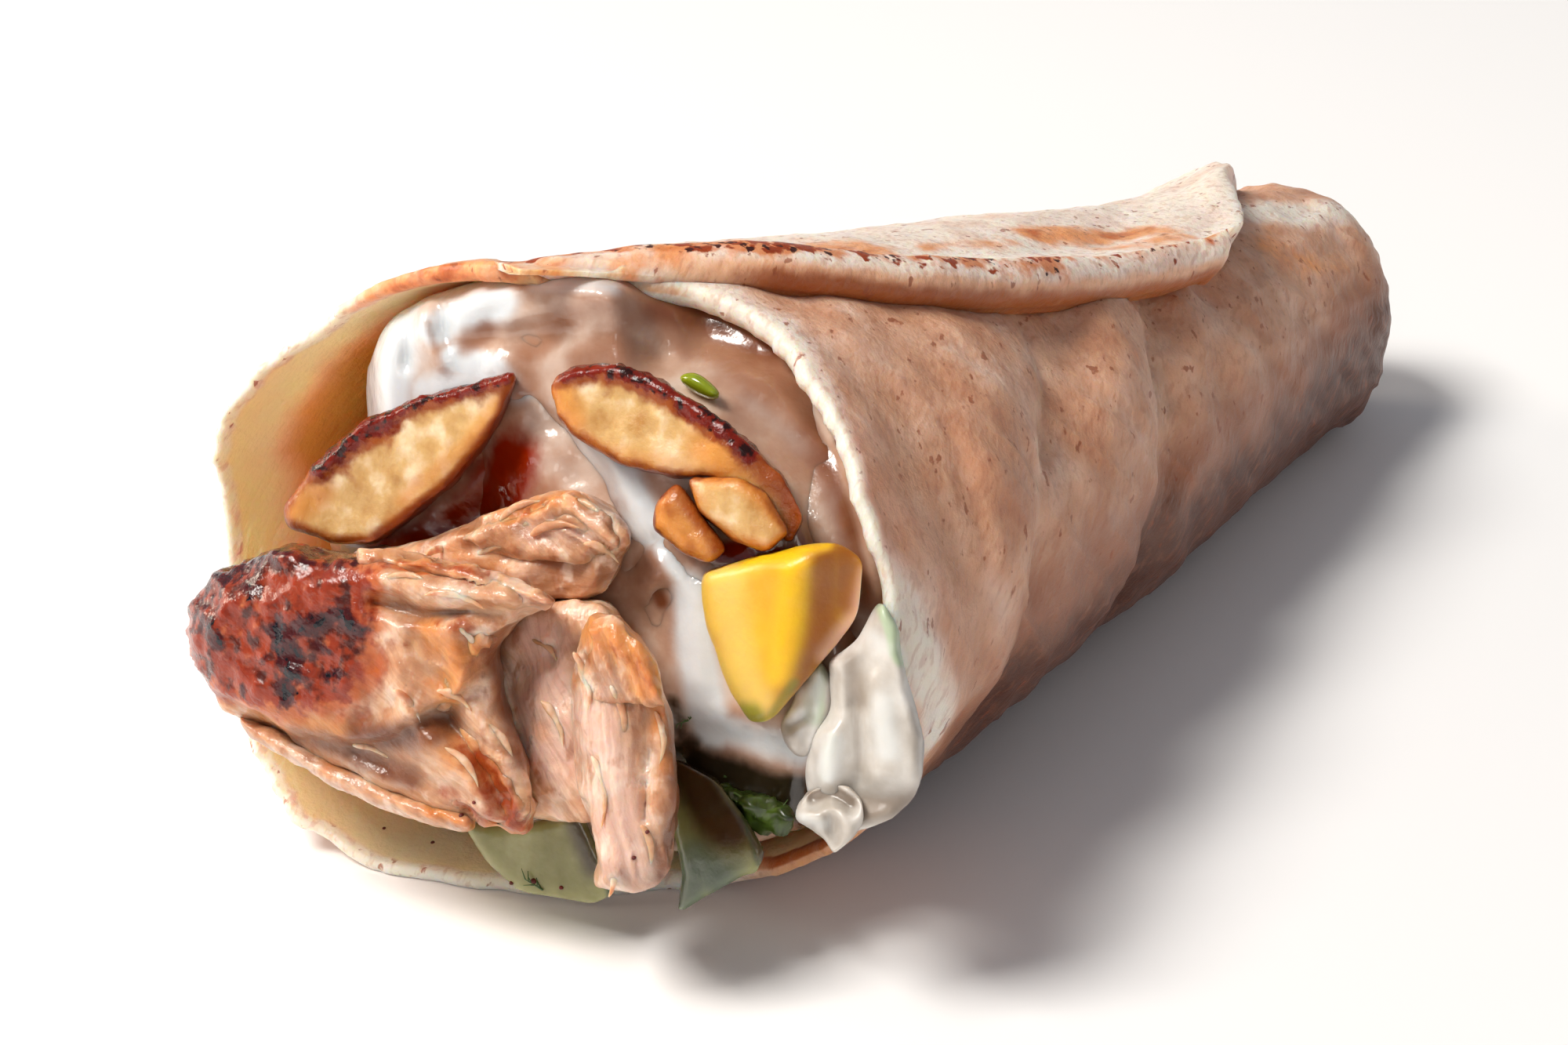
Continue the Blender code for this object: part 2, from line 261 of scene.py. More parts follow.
def smoothed(mesh: bpy.types.Mesh, times: int) -> None:
    """Evens out the mesh's vertices so many times."""
    bm = bmesh.new()
    bm.from_mesh(mesh)
    for _ in range(times):
        bmesh.ops.smooth_vert(bm, verts=bm.verts, factor=0.5, use_axis_x=True, use_axis_y=True, use_axis_z=True)
    bm.to_mesh(mesh)
    bm.free()


def store(mesh: bpy.types.Mesh, name: str, values: Array) -> None:
    """Keeps a value for each vertex, which a material reads by its name."""
    attribute = mesh.attributes.new(name, "FLOAT", "POINT")
    attribute.data.foreach_set("value", np.broadcast_to(values, len(mesh.vertices)).astype(np.float32))


def show(mesh: bpy.types.Mesh, material: bpy.types.Material, nodes: tuple[str, ...]) -> bpy.types.Object:
    """Puts a finished mesh into the scene as a piece.

    Args:
        mesh: the mesh, in metres and in place.
        material: its finish.
        nodes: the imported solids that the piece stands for, if any.

    Returns:
        The piece.
    """
    mesh.materials.clear()
    mesh.materials.append(material)
    piece = bpy.data.objects.new(mesh.name, mesh)
    bpy.context.scene.collection.objects.link(piece)
    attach(piece, BODY)
    if nodes:
        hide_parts(*nodes)
    LOG.info("%s: %d faces", piece.name, len(mesh.polygons))
    return piece


def remeshed(mesh: bpy.types.Mesh, voxel: float) -> bpy.types.Mesh:
    """The mesh made again of even faces a voxel across."""
    maker = bpy.data.objects.new(mesh.name, mesh)
    bpy.context.scene.collection.objects.link(maker)
    modifier = maker.modifiers.new("even faces", "REMESH")
    modifier.mode = "VOXEL"
    modifier.voxel_size = voxel
    bpy.context.view_layer.update()
    made = bpy.data.meshes.new_from_object(maker.evaluated_get(bpy.context.evaluated_depsgraph_get()))
    bpy.data.objects.remove(maker)
    bpy.data.meshes.remove(mesh)
    return made


# ---------------------------------------------------------------- finishes


def linear(colour: str) -> tuple[float, float, float, float]:
    """An sRGB hex colour as the linear colour that shaders take."""
    srgb = [int(colour[i:i + 2], 16) / 255 for i in (0, 2, 4)]
    return (*(c / 12.92 if c <= 0.04045 else ((c + 0.055) / 1.055) ** 2.4 for c in srgb), 1.0)


def add_node(tree: bpy.types.NodeTree, kind: str, settings: dict[str, object] | None = None,
             **inputs: object) -> bpy.types.Node:
    """Adds a node.

    Args:
        tree: the material's node tree.
        kind: the node's type, without "ShaderNode".
        settings: its properties; "stops" fills a colour ramp with (position, sRGB hex) pairs.
        inputs: values or sockets for its inputs, by name with _ for a space, or by number as i0, i1.

    Returns:
        The node.
    """
    node = tree.nodes.new("ShaderNode" + kind)
    for key, value in (settings or {}).items():
        if key != "stops":
            setattr(node, key, value)
            continue
        ramp = node.color_ramp.elements
        while len(ramp) < len(value):
            ramp.new(0.5)
        for element, (position, colour) in zip(ramp, value):
            element.position = position
            element.color = linear(colour)
    for key, value in inputs.items():
        numbered = key[0] == "i" and key[1:].isdigit()
        socket = node.inputs[int(key[1:]) if numbered else key.replace("_", " ")]
        if isinstance(value, bpy.types.NodeSocket):
            tree.links.new(value, socket)
        else:
            socket.default_value = value
    return node


# Inputs of a colour Mix node by number: its factor, and its two colours.
MIX_COLOURS = {"data_type": "RGBA"}
# Blender's noise is centred here.
NOISE_MIDDLE = 0.5


@dataclass(frozen=True)
class Layer:
    """A colour laid over a finish where a mask stored on the mesh says so, or where noise alone does.

    Its edge is broken up by noise of a size in millimetres, which may be stretched and turned for grain."""

    shades: tuple[str, str]
    mask: str = ""
    size: float = 3.0
    ragged: float = 0.6
    start: float = 0.4
    end: float = 0.6
    strength: float = 1.0
    stretch: tuple[float, float, float] = (1, 1, 1)
    turn: tuple[float, float, float] = (0, 0, 0)
    roughness: float | None = None


@dataclass(frozen=True)
class Grain:
    """Fine relief: lumps of a size and a height in millimetres."""

    size: float
    height: float
    stretch: tuple[float, float, float] = (1, 1, 1)
    turn: tuple[float, float, float] = (0, 0, 0)


@dataclass(frozen=True)
class Finish:
    """One food's surface: mottled colour, layers over it, gloss, fine relief and the light that it lets through."""

    name: str
    stops: tuple[tuple[float, str], ...]
    mottle: float = 6.0
    layers: tuple[Layer, ...] = ()
    grains: tuple[Grain, ...] = ()
    roughness: float = 0.5
    coat: float = 0.0
    coat_roughness: float = 0.15
    depth: float = 0.0
    glow: tuple[float, float, float] = (1.0, 0.5, 0.25)
    specular: float = 0.5
    fibres: tuple[float, float, float] | None = None

    def pattern(self, tree: bpy.types.NodeTree, place: bpy.types.NodeSocket, size: float, detail: float,
                stretch: tuple[float, float, float], turn: tuple[float, float, float]) -> bpy.types.NodeSocket:
        """Noise of a size on the piece.

        Args:
            tree: the material's node tree.
            place: the object coordinates.
            size: the size of its lumps.
            detail: how many finer octaves it carries.
            stretch: how much longer its lumps are along each axis.
            turn: how the pattern is turned about each axis.

        Returns:
            The noise's factor.
        """
        if turn != (0, 0, 0):
            angles = tuple(math.radians(a) for a in turn)
            place = add_node(tree, "Mapping", Vector=place, Rotation=angles).outputs[0]
        if stretch != (1, 1, 1):
            place = add_node(tree, "Mapping", Vector=place, Scale=tuple(1 / s for s in stretch)).outputs[0]
        return add_node(tree, "TexNoise", Vector=place, Scale=1 / (size * MM), Detail=detail).outputs[0]

    def material(self) -> bpy.types.Material:
        """Builds the material.

        Returns:
            A material that reads object coordinates and the masks stored on the mesh.
        """
        material = bpy.data.materials.new(self.name)
        material.use_nodes = True
        tree = material.node_tree
        shader = tree.nodes["Principled BSDF"]
        place = add_node(tree, "TexCoord").outputs["Object"]
        plain = (1, 1, 1), (0, 0, 0)
        ramp = add_node(tree, "ValToRGB", {"stops": self.stops},
                        Fac=self.pattern(tree, place, self.mottle, 4, *plain))
        colour = ramp.outputs[0]
        rough: object = self.roughness
        for i, layer in enumerate(self.layers):
            edge = self.pattern(tree, place, layer.size, 3, layer.stretch, layer.turn)
            mask: object = 0.5
            if layer.mask:
                mask = add_node(tree, "Attribute", {"attribute_name": layer.mask}).outputs["Fac"]
            broken = add_node(tree, "Math", {"operation": "MULTIPLY_ADD"}, i0=edge, i1=layer.ragged,
                              i2=-layer.ragged * NOISE_MIDDLE).outputs[0]
            both = add_node(tree, "Math", {"operation": "ADD"}, i0=mask, i1=broken).outputs[0]
            amount = add_node(tree, "MapRange", {"interpolation_type": "SMOOTHSTEP"}, Value=both, i1=layer.start,
                              i2=layer.end, i4=layer.strength).outputs[0]
            shade = add_node(tree, "Mix", MIX_COLOURS, i0=self.pattern(tree, place, layer.size * 1.7, 3, *plain),
                             i6=linear(layer.shades[0]), i7=linear(layer.shades[1])).outputs[2]
            colour = add_node(tree, "Mix", MIX_COLOURS, i0=amount, i6=colour, i7=shade).outputs[2]
            if layer.roughness is not None:
                rough = add_node(tree, "Mix", i0=amount, i2=rough, i3=layer.roughness).outputs[0]
        strands = self.strands(tree)
        if strands:
            # Painted shade: the colour is darkened where the strands' noise is low, in the grooves between fibres.
            dip = add_node(tree, "MapRange", {"interpolation_type": "SMOOTHSTEP"}, Value=strands, i1=0.6, i2=0.34,
                           i4=0.2).outputs[0]
            darker = add_node(tree, "Mix", {**MIX_COLOURS, "blend_type": "MULTIPLY"}, i0=dip, i6=colour,
                              i7=linear("B0785C"))
            colour = darker.outputs[2]
        tree.links.new(colour, shader.inputs["Base Color"])
        if isinstance(rough, bpy.types.NodeSocket):
            tree.links.new(rough, shader.inputs["Roughness"])
        else:
            shader.inputs["Roughness"].default_value = rough
        self.relief(tree, shader, place, strands)
        shader.inputs["Coat Weight"].default_value = self.coat
        shader.inputs["Coat Roughness"].default_value = self.coat_roughness
        shader.inputs["Specular IOR Level"].default_value = self.specular
        if self.depth:
            shader.inputs["Subsurface Weight"].default_value = 1.0 if self.depth > 1 else 0.6
            shader.inputs["Subsurface Radius"].default_value = self.glow
            shader.inputs["Subsurface Scale"].default_value = self.depth * MM
        return material

    def strands(self, tree: bpy.types.NodeTree) -> bpy.types.NodeSocket | None:
        """Noise drawn out along the fibres that the mesh stores, or nothing for a food without them."""
        if not self.fibres:
            return None
        run, cross = (add_node(tree, "Attribute", {"attribute_name": name}).outputs["Fac"]
                      for name in ("fibre_run", "fibre_cross"))
        length, width, _ = self.fibres
        run = add_node(tree, "Math", {"operation": "DIVIDE"}, i0=run, i1=length).outputs[0]
        cross = add_node(tree, "Math", {"operation": "DIVIDE"}, i0=cross, i1=width).outputs[0]
        place = add_node(tree, "CombineXYZ", X=run, Y=cross).outputs[0]
        return add_node(tree, "TexNoise", {"noise_dimensions": "2D"}, Vector=place, Scale=1.0, Detail=3.0).outputs[0]

    def relief(self, tree: bpy.types.NodeTree, shader: bpy.types.Node, place: bpy.types.NodeSocket,
               strands: bpy.types.NodeSocket | None) -> None:
        """Gives the shader the finish's fine relief.

        Args:
            tree: the material's node tree.
            shader: the material's shader.
            place: the object coordinates.
            strands: the noise along the fibres, if any.
        """
        normal: object = None
        heights = [(self.pattern(tree, place, grain.size, 4, grain.stretch, grain.turn), grain.height)
                   for grain in self.grains]
        if strands:
            heights.append((strands, self.fibres[2]))
        for height, distance in heights:
            inputs = {"Height": height, "Distance": distance * MM}
            if normal is not None:
                inputs["Normal"] = normal
            normal = add_node(tree, "Bump", **inputs).outputs[0]
        if normal is not None:
            tree.links.new(normal, shader.inputs["Normal"])
            tree.links.new(normal, shader.inputs["Coat Normal"])


# Baked flatbread: matt, mottled cream and tan dough with toasted patches, dark oven spots and long brown flecks;
# painted light keeps the flap pale and makes the inner side glow cream and amber, and painted shade darkens the lip's
# underside, the bottom of the near side and the tail's low side.
BREAD = Finish(
    "baked_flatbread",
    stops=((0.3, "CC9170"), (0.45, "D8A484"), (0.58, "E2B498"), (0.72, "EDCBB6")), mottle=10,
    layers=(
        Layer(("BC7C5C", "CA8E6E"), size=4, start=0.5, end=0.68, ragged=1.0, strength=0.4,
              stretch=(3.5, 1, 1), turn=(0, 50, 0)),
        # Pale dough at the torn rim and in patches, and painted light over the whole flap.
        Layer(("F8E6D6", "FFF6EC"), mask="pale", size=9, ragged=0.9, start=0.3, end=0.8, strength=0.9),
        Layer(("E28A48", "F2B07A"), mask="toast", size=4, ragged=1.5, start=0.2, end=0.95, strength=0.95),
        Layer(("B4521E", "CC7038"), mask="toast", size=3, ragged=2.4, start=0.85, end=1.35, strength=0.85, stretch=(2, 1, 1)),
        # Painted shade: tan to dark orange under the flap's rolled lip and under the rim low on the near side.
        Layer(("E2A070", "F0BE96"), mask="under", size=5, ragged=0.6, start=0.1, end=0.5, strength=0.8),
        Layer(("94460F", "BA6828"), mask="under", size=4, ragged=0.5, start=0.42, end=0.9, strength=0.95),
        # Painted shade: darker browns low on the near side and on the tail's low side.
        Layer(("96583A", "A86C4C"), mask="warm", size=8, ragged=0.5, start=0.05, end=0.55, strength=0.8),
        Layer(("46200F", "603422"), mask="warm", size=8, ragged=0.5, start=0.42, end=1.0, strength=0.92),
        Layer(("A86A4C", "B87C5E"), size=1.0, ragged=1.0, start=0.5, end=0.66, strength=0.3, stretch=(3, 1, 1),
              turn=(0, 50, 0)),
        Layer(("8A4020", "A8603C"), size=1.5, start=0.64, end=0.7, ragged=1.0, strength=0.75,
              stretch=(2.0, 1, 1), turn=(0, 58, 0)),
        Layer(("CC6E34", "E09458"), mask="spots", size=3.4, ragged=1.8, start=0.4, end=0.85, strength=0.9),
        Layer(("842C0C", "AC4C1C"), mask="spots", size=2.1, ragged=2.8, start=0.7, end=0.9),
        Layer(("2A0A06", "521A0C"), mask="spots", size=1.6, ragged=3.0, start=0.95, end=1.1),
        # Painted light: the inner side brightened to a glowing cream, and amber deeper in, for light coming through the
        # thin wall.
        Layer(("F6D6A4", "FFEBC8"), mask="inside", size=7, ragged=0.5, start=0.2, end=0.7),
        Layer(("D0982C", "E2B052"), mask="amber", size=9, ragged=0.5, start=0.1, end=0.95, strength=0.95),
    ),
    grains=(Grain(2.2, 0.42, (3.0, 1, 1), (0, 52, 0)), Grain(0.8, 0.2, (2.0, 1, 1), (0, 52, 0)), Grain(0.4, 0.07)),
    roughness=0.42, depth=3.0, glow=(1.0, 0.62, 0.34), specular=0.4,
)
# Yoghurt sauce with meat juices in it: wet and glossy, soft white that turns pink-brown where juice has run in; the
# cool white on its ridges is partly painted light, tan in its dips is painted shade, brown on its far right is painted
# shade partly stained by juice, the red-brown is juice with painted shade, and the near-black is painted shade in the
# deep recesses.
SAUCE = Finish(
    "yoghurt_sauce",
    stops=((0.35, "B28A74"), (0.5, "C6A48E"), (0.65, "D8C2B2")), mottle=7,
    layers=(
        # Partly the sauce's own white and partly painted light: cool white, brightest on the ridges and the lit lobe.
        Layer(("D0D4D6", "ECF0F2"), mask="white", size=5, ragged=0.35, start=0.15, end=0.75),
        # Painted shade: tan in the sauce's dips and on its shaded right side.
        Layer(("925E42", "AC7C5C"), mask="tan", size=4, ragged=0.5, start=0.2, end=0.95, strength=0.85),
        # Painted shade: brown on the far right by the wall, partly juice-stained sauce.
        Layer(("703A1C", "8A4E2C"), mask="brown", size=6, ragged=0.4, start=0.15, end=0.95, strength=0.95),
        # Meat juice with painted shade: deep red-brown in the recess between the wedge and the chicken.
        Layer(("7A0E00", "A42A02"), mask="juice", size=3, ragged=0.6, start=0.15, end=0.8, roughness=0.12),
        # Painted shade: near-black in the deep recesses by the near cucumber.
        Layer(("241C10", "40301C"), mask="dark", size=4, ragged=0.5, start=0.25, end=0.85),
    ),
    grains=(Grain(4.0, 0.3),), roughness=0.24, coat=0.5, coat_roughness=0.08, depth=1.6,
    glow=(1.0, 0.86, 0.76),
)
# Grilled chicken: moist pale fibres, golden where the grill caught them, glossy red-brown skin with black char; painted
# shade darkens the fibre grooves and the crevices between pieces, and random pale glossy patches are a painted sheen.
CHICKEN = Finish(
    "grilled_chicken",
    stops=((0.3, "BE8660"), (0.5, "DAAC88"), (0.68, "F2D8C2")), mottle=4,
    layers=(
        # Painted shade: darker browns in the grooves between fibres.
        Layer(("84431E", "A4622F"), mask="groove", size=2.5, ragged=0.5, start=0.36, end=0.95, strength=0.6),
        Layer(("DDB4A2", "F0D2C4"), mask="pink", size=5, ragged=0.5, start=0.2, end=1.0, strength=0.75),
        # Painted sheen: random pale glossy patches that stand in for wet highlights.
        Layer(("F0DCC8", "FAEEE2"), size=2.6, ragged=1.0, start=0.55, end=0.72, strength=0.55, stretch=(1, 1, 2),
              turn=(0, 30, 40), roughness=0.28),
        Layer(("A2623A", "BA7A50"), size=2.0, ragged=1.0, start=0.58, end=0.72, strength=0.55, stretch=(1, 1, 2)),
        Layer(("CC7830", "E4A058"), mask="golden", size=3, ragged=0.9, start=0.2, end=1.0, strength=0.85),
        Layer(("5A2610", "7E4224"), mask="shade", size=4, ragged=0.5, start=0.2, end=1.0, strength=0.85),
        Layer(("8E3410", "B0501C"), mask="orange", size=1.8, ragged=1.2, start=0.3, end=0.95, roughness=0.3),
        Layer(("B8501C", "D07434"), mask="grilled", size=3, ragged=1.3, start=0.1, end=0.6, strength=0.85),
        Layer(("78180A", "B24414"), mask="grilled", size=1.9, ragged=1.6, start=0.5, end=0.9, roughness=0.32),
        Layer(("3A0C04", "661C0A"), mask="grilled", size=2.6, ragged=2.4, start=0.95, end=1.3, roughness=0.26),
        Layer(("34060A", "560E10"), mask="char", size=1.6, ragged=1.7, start=0.3, end=0.75, roughness=0.2),
        Layer(("050307", "120E1C"), mask="char", size=1.1, ragged=2.2, start=0.84, end=1.05, roughness=0.16),
    ),
    grains=(Grain(1.4, 0.22), Grain(0.5, 0.08)), roughness=0.38, coat=0.5, coat_roughness=0.1, depth=1.2,
    glow=(1.0, 0.52, 0.3), specular=0.3, fibres=(6.0, 0.8, 0.07),
)
# Fried potato: a floury pale yellow cut face, a golden to deep brown fried skin, and a dark sticky crust.
POTATO = Finish(
    "fried_potato",
    stops=((0.3, "BE8C4C"), (0.5, "D8B278"), (0.7, "F2E0BE")), mottle=4,
    layers=(
        Layer(("CE7E26", "DC983E"), mask="golden", size=4, ragged=0.7, start=0.2, end=1.1, strength=0.85),
        Layer(("BE6A1C", "D28834"), mask="rim", size=3, ragged=0.6, start=0.2, end=0.9),
        Layer(("8A3A0C", "AC5818"), mask="skin", size=2.5, ragged=0.8, start=0.25, end=1.0, roughness=0.3),
        Layer(("6A2408", "8A3A10"), mask="rim", size=2, ragged=0.8, start=0.7, end=1.05, roughness=0.3),
        Layer(("904010", "A85A1C"), mask="crust", size=2.2, ragged=0.9, start=0.12, end=0.5, roughness=0.3),
        Layer(("5C0A02", "8C1E04"), mask="crust", size=1.6, ragged=1.3, start=0.45, end=0.85, roughness=0.26),
        Layer(("1C0402", "340C06"), mask="crust", size=1.1, ragged=1.9, start=0.95, end=1.2, roughness=0.2),
    ),
    grains=(Grain(1.4, 0.22), Grain(0.5, 0.1)), roughness=0.4, coat=0.25, coat_roughness=0.1, depth=1.6,
    glow=(1.0, 0.7, 0.36), specular=0.3,
)
# Yellow pepper: smooth waxy flesh, with painted light as a paler lit left face and a vivid glow along the fold, and
# painted shade as brown on its right side.
PEPPER = Finish(
    "yellow_pepper_flesh",
    stops=((0.35, "DCA81C"), (0.65, "E8BC30")), mottle=8,
    layers=(
        # Painted light: the lit left face, paler mustard.
        Layer(("E6C25C", "F0D27C"), mask="light", size=8, ragged=0.3, start=0.1, end=1.1, strength=0.9),
        # Painted shade: brown on the pepper's right side.
        Layer(("8C4A08", "AC6818"), mask="brown", size=8, ragged=0.2, start=0.05, end=1.1),
        # Painted light: a vivid glow along the fold.
        Layer(("ECB800", "F6CC0C"), mask="vivid", size=6, ragged=0.2, start=0.2, end=1.0),
        Layer(("CF9C80", "DDB29C"), mask="pink", size=6, ragged=0.3, start=0.2, end=1.0),
        Layer(("6E7A20", "8C8E2C"), mask="green", size=4, ragged=0.3, start=0.3, end=0.9, strength=0.8),
    ),
    grains=(Grain(2.5, 0.15), Grain(0.7, 0.04)), roughness=0.38, coat=0.2, coat_roughness=0.3, depth=1.8,
    glow=(1.0, 0.7, 0.1),
)
# Cabbage leaf wet with sauce: satin off-white, faintly green at its edge, with painted light in brighter patches and
# painted shade in grey-brown ones.
CABBAGE = Finish(
    "sauced_cabbage",
    stops=((0.35, "BCB4AA"), (0.5, "CEC8C0"), (0.65, "E0DCD6")), mottle=6,
    layers=(
        Layer(("98B088", "BCCCAC"), mask="green", size=3, ragged=0.6, start=0.35, end=0.8, strength=0.8),
        # Painted light: brighter patches on the lit parts of the leaf.
        Layer(("DCDEDA", "E8E8E6"), mask="bright", size=4, ragged=0.4, start=0.2, end=0.95, strength=0.75),
        Layer(("7C6A58", "9C8C7E"), mask="shade", size=5, ragged=0.3, start=0.2, end=1.0, strength=0.85),
    ),
    grains=(Grain(2.5, 0.12),), roughness=0.34, coat=0.3, coat_roughness=0.2, depth=1.2, glow=(1.0, 0.9, 0.8),
)
# Lettuce leaf: thin, crumpled dark green.
GREENS = Finish("green_lettuce", stops=((0.3, "1E2A08"), (0.5, "34460F"), (0.7, "567024")), mottle=3, roughness=0.35,
                coat=0.2, depth=0.6, glow=(0.7, 1.0, 0.3))
# Cucumber: wet translucent pale green flesh with a dark green skin.
CUCUMBER = Finish(
    "cut_cucumber",
    stops=((0.3, "7E7A40"), (0.5, "92905A"), (0.7, "AEAC7C")), mottle=6,
    layers=(
        Layer(("566050", "6E7A62"), mask="cool", size=4, ragged=0.3, start=0.1, end=1.0),
        Layer(("2E1A08", "4A2E10"), mask="shade", size=4, ragged=0.4, start=0.1, end=1.0),
        Layer(("1E3212", "3A4F1C"), mask="skin", size=2, ragged=0.5, start=0.4, end=0.9),
    ),
    grains=(Grain(1.5, 0.1),), roughness=0.25, coat=0.4, depth=1.2, glow=(0.7, 1.0, 0.4),
)
# Pickled green pepper: wet, see-through yellow-green.
PICKLE = Finish("pickled_pepper", stops=((0.3, "7E8A12"), (0.7, "A9B42E")), roughness=0.15, coat=0.5, depth=1.5,
                glow=(0.8, 1.0, 0.2))
# Dill: thin dark green thread leaves.
DILL = Finish("fresh_dill", stops=((0.3, "2E4A1C"), (0.7, "5E7A38")), roughness=0.4)
# Sumac and chilli grains: small dark red crumbs.
SPICE = Finish("ground_spice", stops=((0.3, "4E0F0C"), (0.7, "7E2618")), roughness=0.5, mottle=1)


# ---------------------------------------------------------------- the rolled bread


@dataclass(frozen=True)
class Roll:
    """The rolled cone that the bread's skin follows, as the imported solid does.

    Angles go round the roll: 0 on the near side, 90 on top, 180 on the far side and 270 on the table."""

    mouth_width: float = 95.5
    mouth_height: float = 77.0
    tail_width: float = 33.0
    tail_height: float = 37.0
    length: float = 161.0
    cap: float = 17.5
    cap_share: float = 0.25
    pressed: float = 2.4
    # The middle of the mouth, from the bread's box: back from its tail end, from its middle, and above the table.
    back: float = 178.5
    aside: float = -1.405
    above: float = 37.75
    flap: float = 3.4
    flap_root: float = 238.0
    step_start: float = -5.0
    step_turn: float = 26.0
    step_length: float = 30.0
    # On the far side the flap starts behind the rim, and takes up its thickness gradually.
    bare: Curve = Curve(((90, 0), (100, 0), (125, 10), (150, 17), (238, 17)))
    joining: Curve = Curve(((90, 0.1), (100, 2), (125, 13), (238, 18)))
    rim: Curve = Curve(((0, 9), (20, 10), (45, 15), (67, 22), (83, 20), (100, 9), (120, 5), (145, 3), (165, -4),
                        (195, -5), (220, -13), (238, -15), (252, -12), (270, -6), (290, 3), (315, 9), (340, 11)),
                       FULL_TURN)
    free_edge: Curve = Curve(((4, 98), (14, 91), (24, 83), (36, 75), (50, 67), (75, 59), (112, 53)))
    flap_end: Curve = Curve(((50, 108), (60, 116), (75, 132), (96, 150), (125, 156), (160, 148), (200, 130),
                             (240, 112)))

    def middle(self) -> Array:
        """The middle of the mouth."""
        low, high = (np.array(corner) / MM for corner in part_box("flatbread"))
        return np.array((high[0] - self.back, (low[1] + high[1]) / 2 + self.aside, low[2] + self.above))

    def joined(self, angle: Array, along: Array) -> Array:
        """The share of its thickness that the flap has, from 0 where it leaves the torn rim bare."""
        angle = np.mod(angle, FULL_TURN)
        return smooth_step((along - self.rim.at(angle) - self.bare.at(angle)) / self.joining.at(angle) + 0.02)

    def under_flap(self, angle: Array, along: Array) -> Array:
        """How far the bread is pressed in under the flap."""
        angle = np.mod(angle, FULL_TURN)
        start = smooth_step((angle - self.free_edge.at(along) - self.step_start) / self.step_turn)
        start = start * np.where(angle > 90, self.joined(angle, along), 1)
        root = smooth_step((self.flap_root - angle) / self.step_turn)
        return self.flap * start * root * smooth_step((self.flap_end.at(angle) - along) / self.step_length)

    def at(self, angle: Array, along: Array, lift: Array | float = 0.0, size: Array | float = 1.0) -> Array:
        """Points of the bread's skin.

        Args:
            angle: the angle round the roll.
            along: how far each is behind the middle of the mouth.
            lift: how far each is lifted off the skin.
            size: the share of the cone's radius that is kept.

        Returns:
            n by 3 positions.
        """
        share = np.minimum(along / self.length, 1)
        wide = (self.mouth_width + (self.tail_width - self.mouth_width) * share) / 2
        tall = (self.mouth_height + (self.tail_height - self.mouth_height) * share) / 2
        turn = np.radians(angle)
        lift = lift - self.under_flap(angle, along)
        sink = self.pressed / 2
        across = -(wide * size + lift) * np.cos(turn)
        up = tall - sink + ((tall + sink) * size + lift) * np.sin(turn)
        middle = self.middle()
        return np.stack([middle[0] + along, middle[1] + across, np.maximum(up, np.maximum(-lift, 0))], axis=1)

    def drawn_in(self, points: Array, wall: float, behind: float) -> Array:
        """Points pulled inside the bread.

        Args:
            points: n by 3 positions.
            wall: the thickness of bread that they are kept inside.
            behind: how far behind the rim the pull starts.

        Returns:
            n by 3 positions.
        """
        middle = self.middle()
        along = points[:, 0] - middle[0]
        share = np.clip(along / self.length, 0, 1)
        wide = (self.mouth_width + (self.tail_width - self.mouth_width) * share) / 2
        tall = (self.mouth_height + (self.tail_height - self.mouth_height) * share) / 2
        sink = self.pressed / 2
        away = np.stack([0 * along, points[:, 1] - middle[1], points[:, 2] - tall + sink], axis=1)
        side, rise = away[:, 1] / wide, away[:, 2] / (tall + sink)
        angle = np.degrees(np.arctan2(rise, -side)) % FULL_TURN
        kept = 1 - (wall + self.under_flap(angle, along)) / np.minimum(wide, tall)
        pull = np.minimum(kept / np.maximum(np.hypot(side, rise), 0.01), 1) - 1
        return points + away * (pull * smooth_step((along - self.rim.at(angle) - behind) / behind))[:, None]


ROLL = Roll()
# Millimetres of skin for each degree, at the roll's middle: marks on the bread are laid out along it and round it.
ARC = 0.6


def wound(*places: tuple[float, float]) -> Points:
    """A line of (along, angle) places as (along, millimetres round) ones."""
    return tuple((along, angle * ARC) for along, angle in places)


def ball(across: int, rings: int) -> tuple[bmesh.types.BMesh, Array, Array]:
    """A unit ball whose vertices are read by ring and by angle.

    Args:
        across: its segments.
        rings: its rings.

    Returns:
        The bmesh, each vertex's ring from 0 at the top pole, and its angle in degrees.
    """
    bm = bmesh.new()
    bmesh.ops.create_uvsphere(bm, u_segments=across, v_segments=rings, radius=1)
    points = np.array([vert.co for vert in bm.verts])
    ring = np.rint(np.arccos(np.clip(points[:, 2], -1, 1)) / math.pi * rings)
    angle = np.degrees(np.arctan2(points[:, 1], points[:, 0]))
    return bm, ring, angle


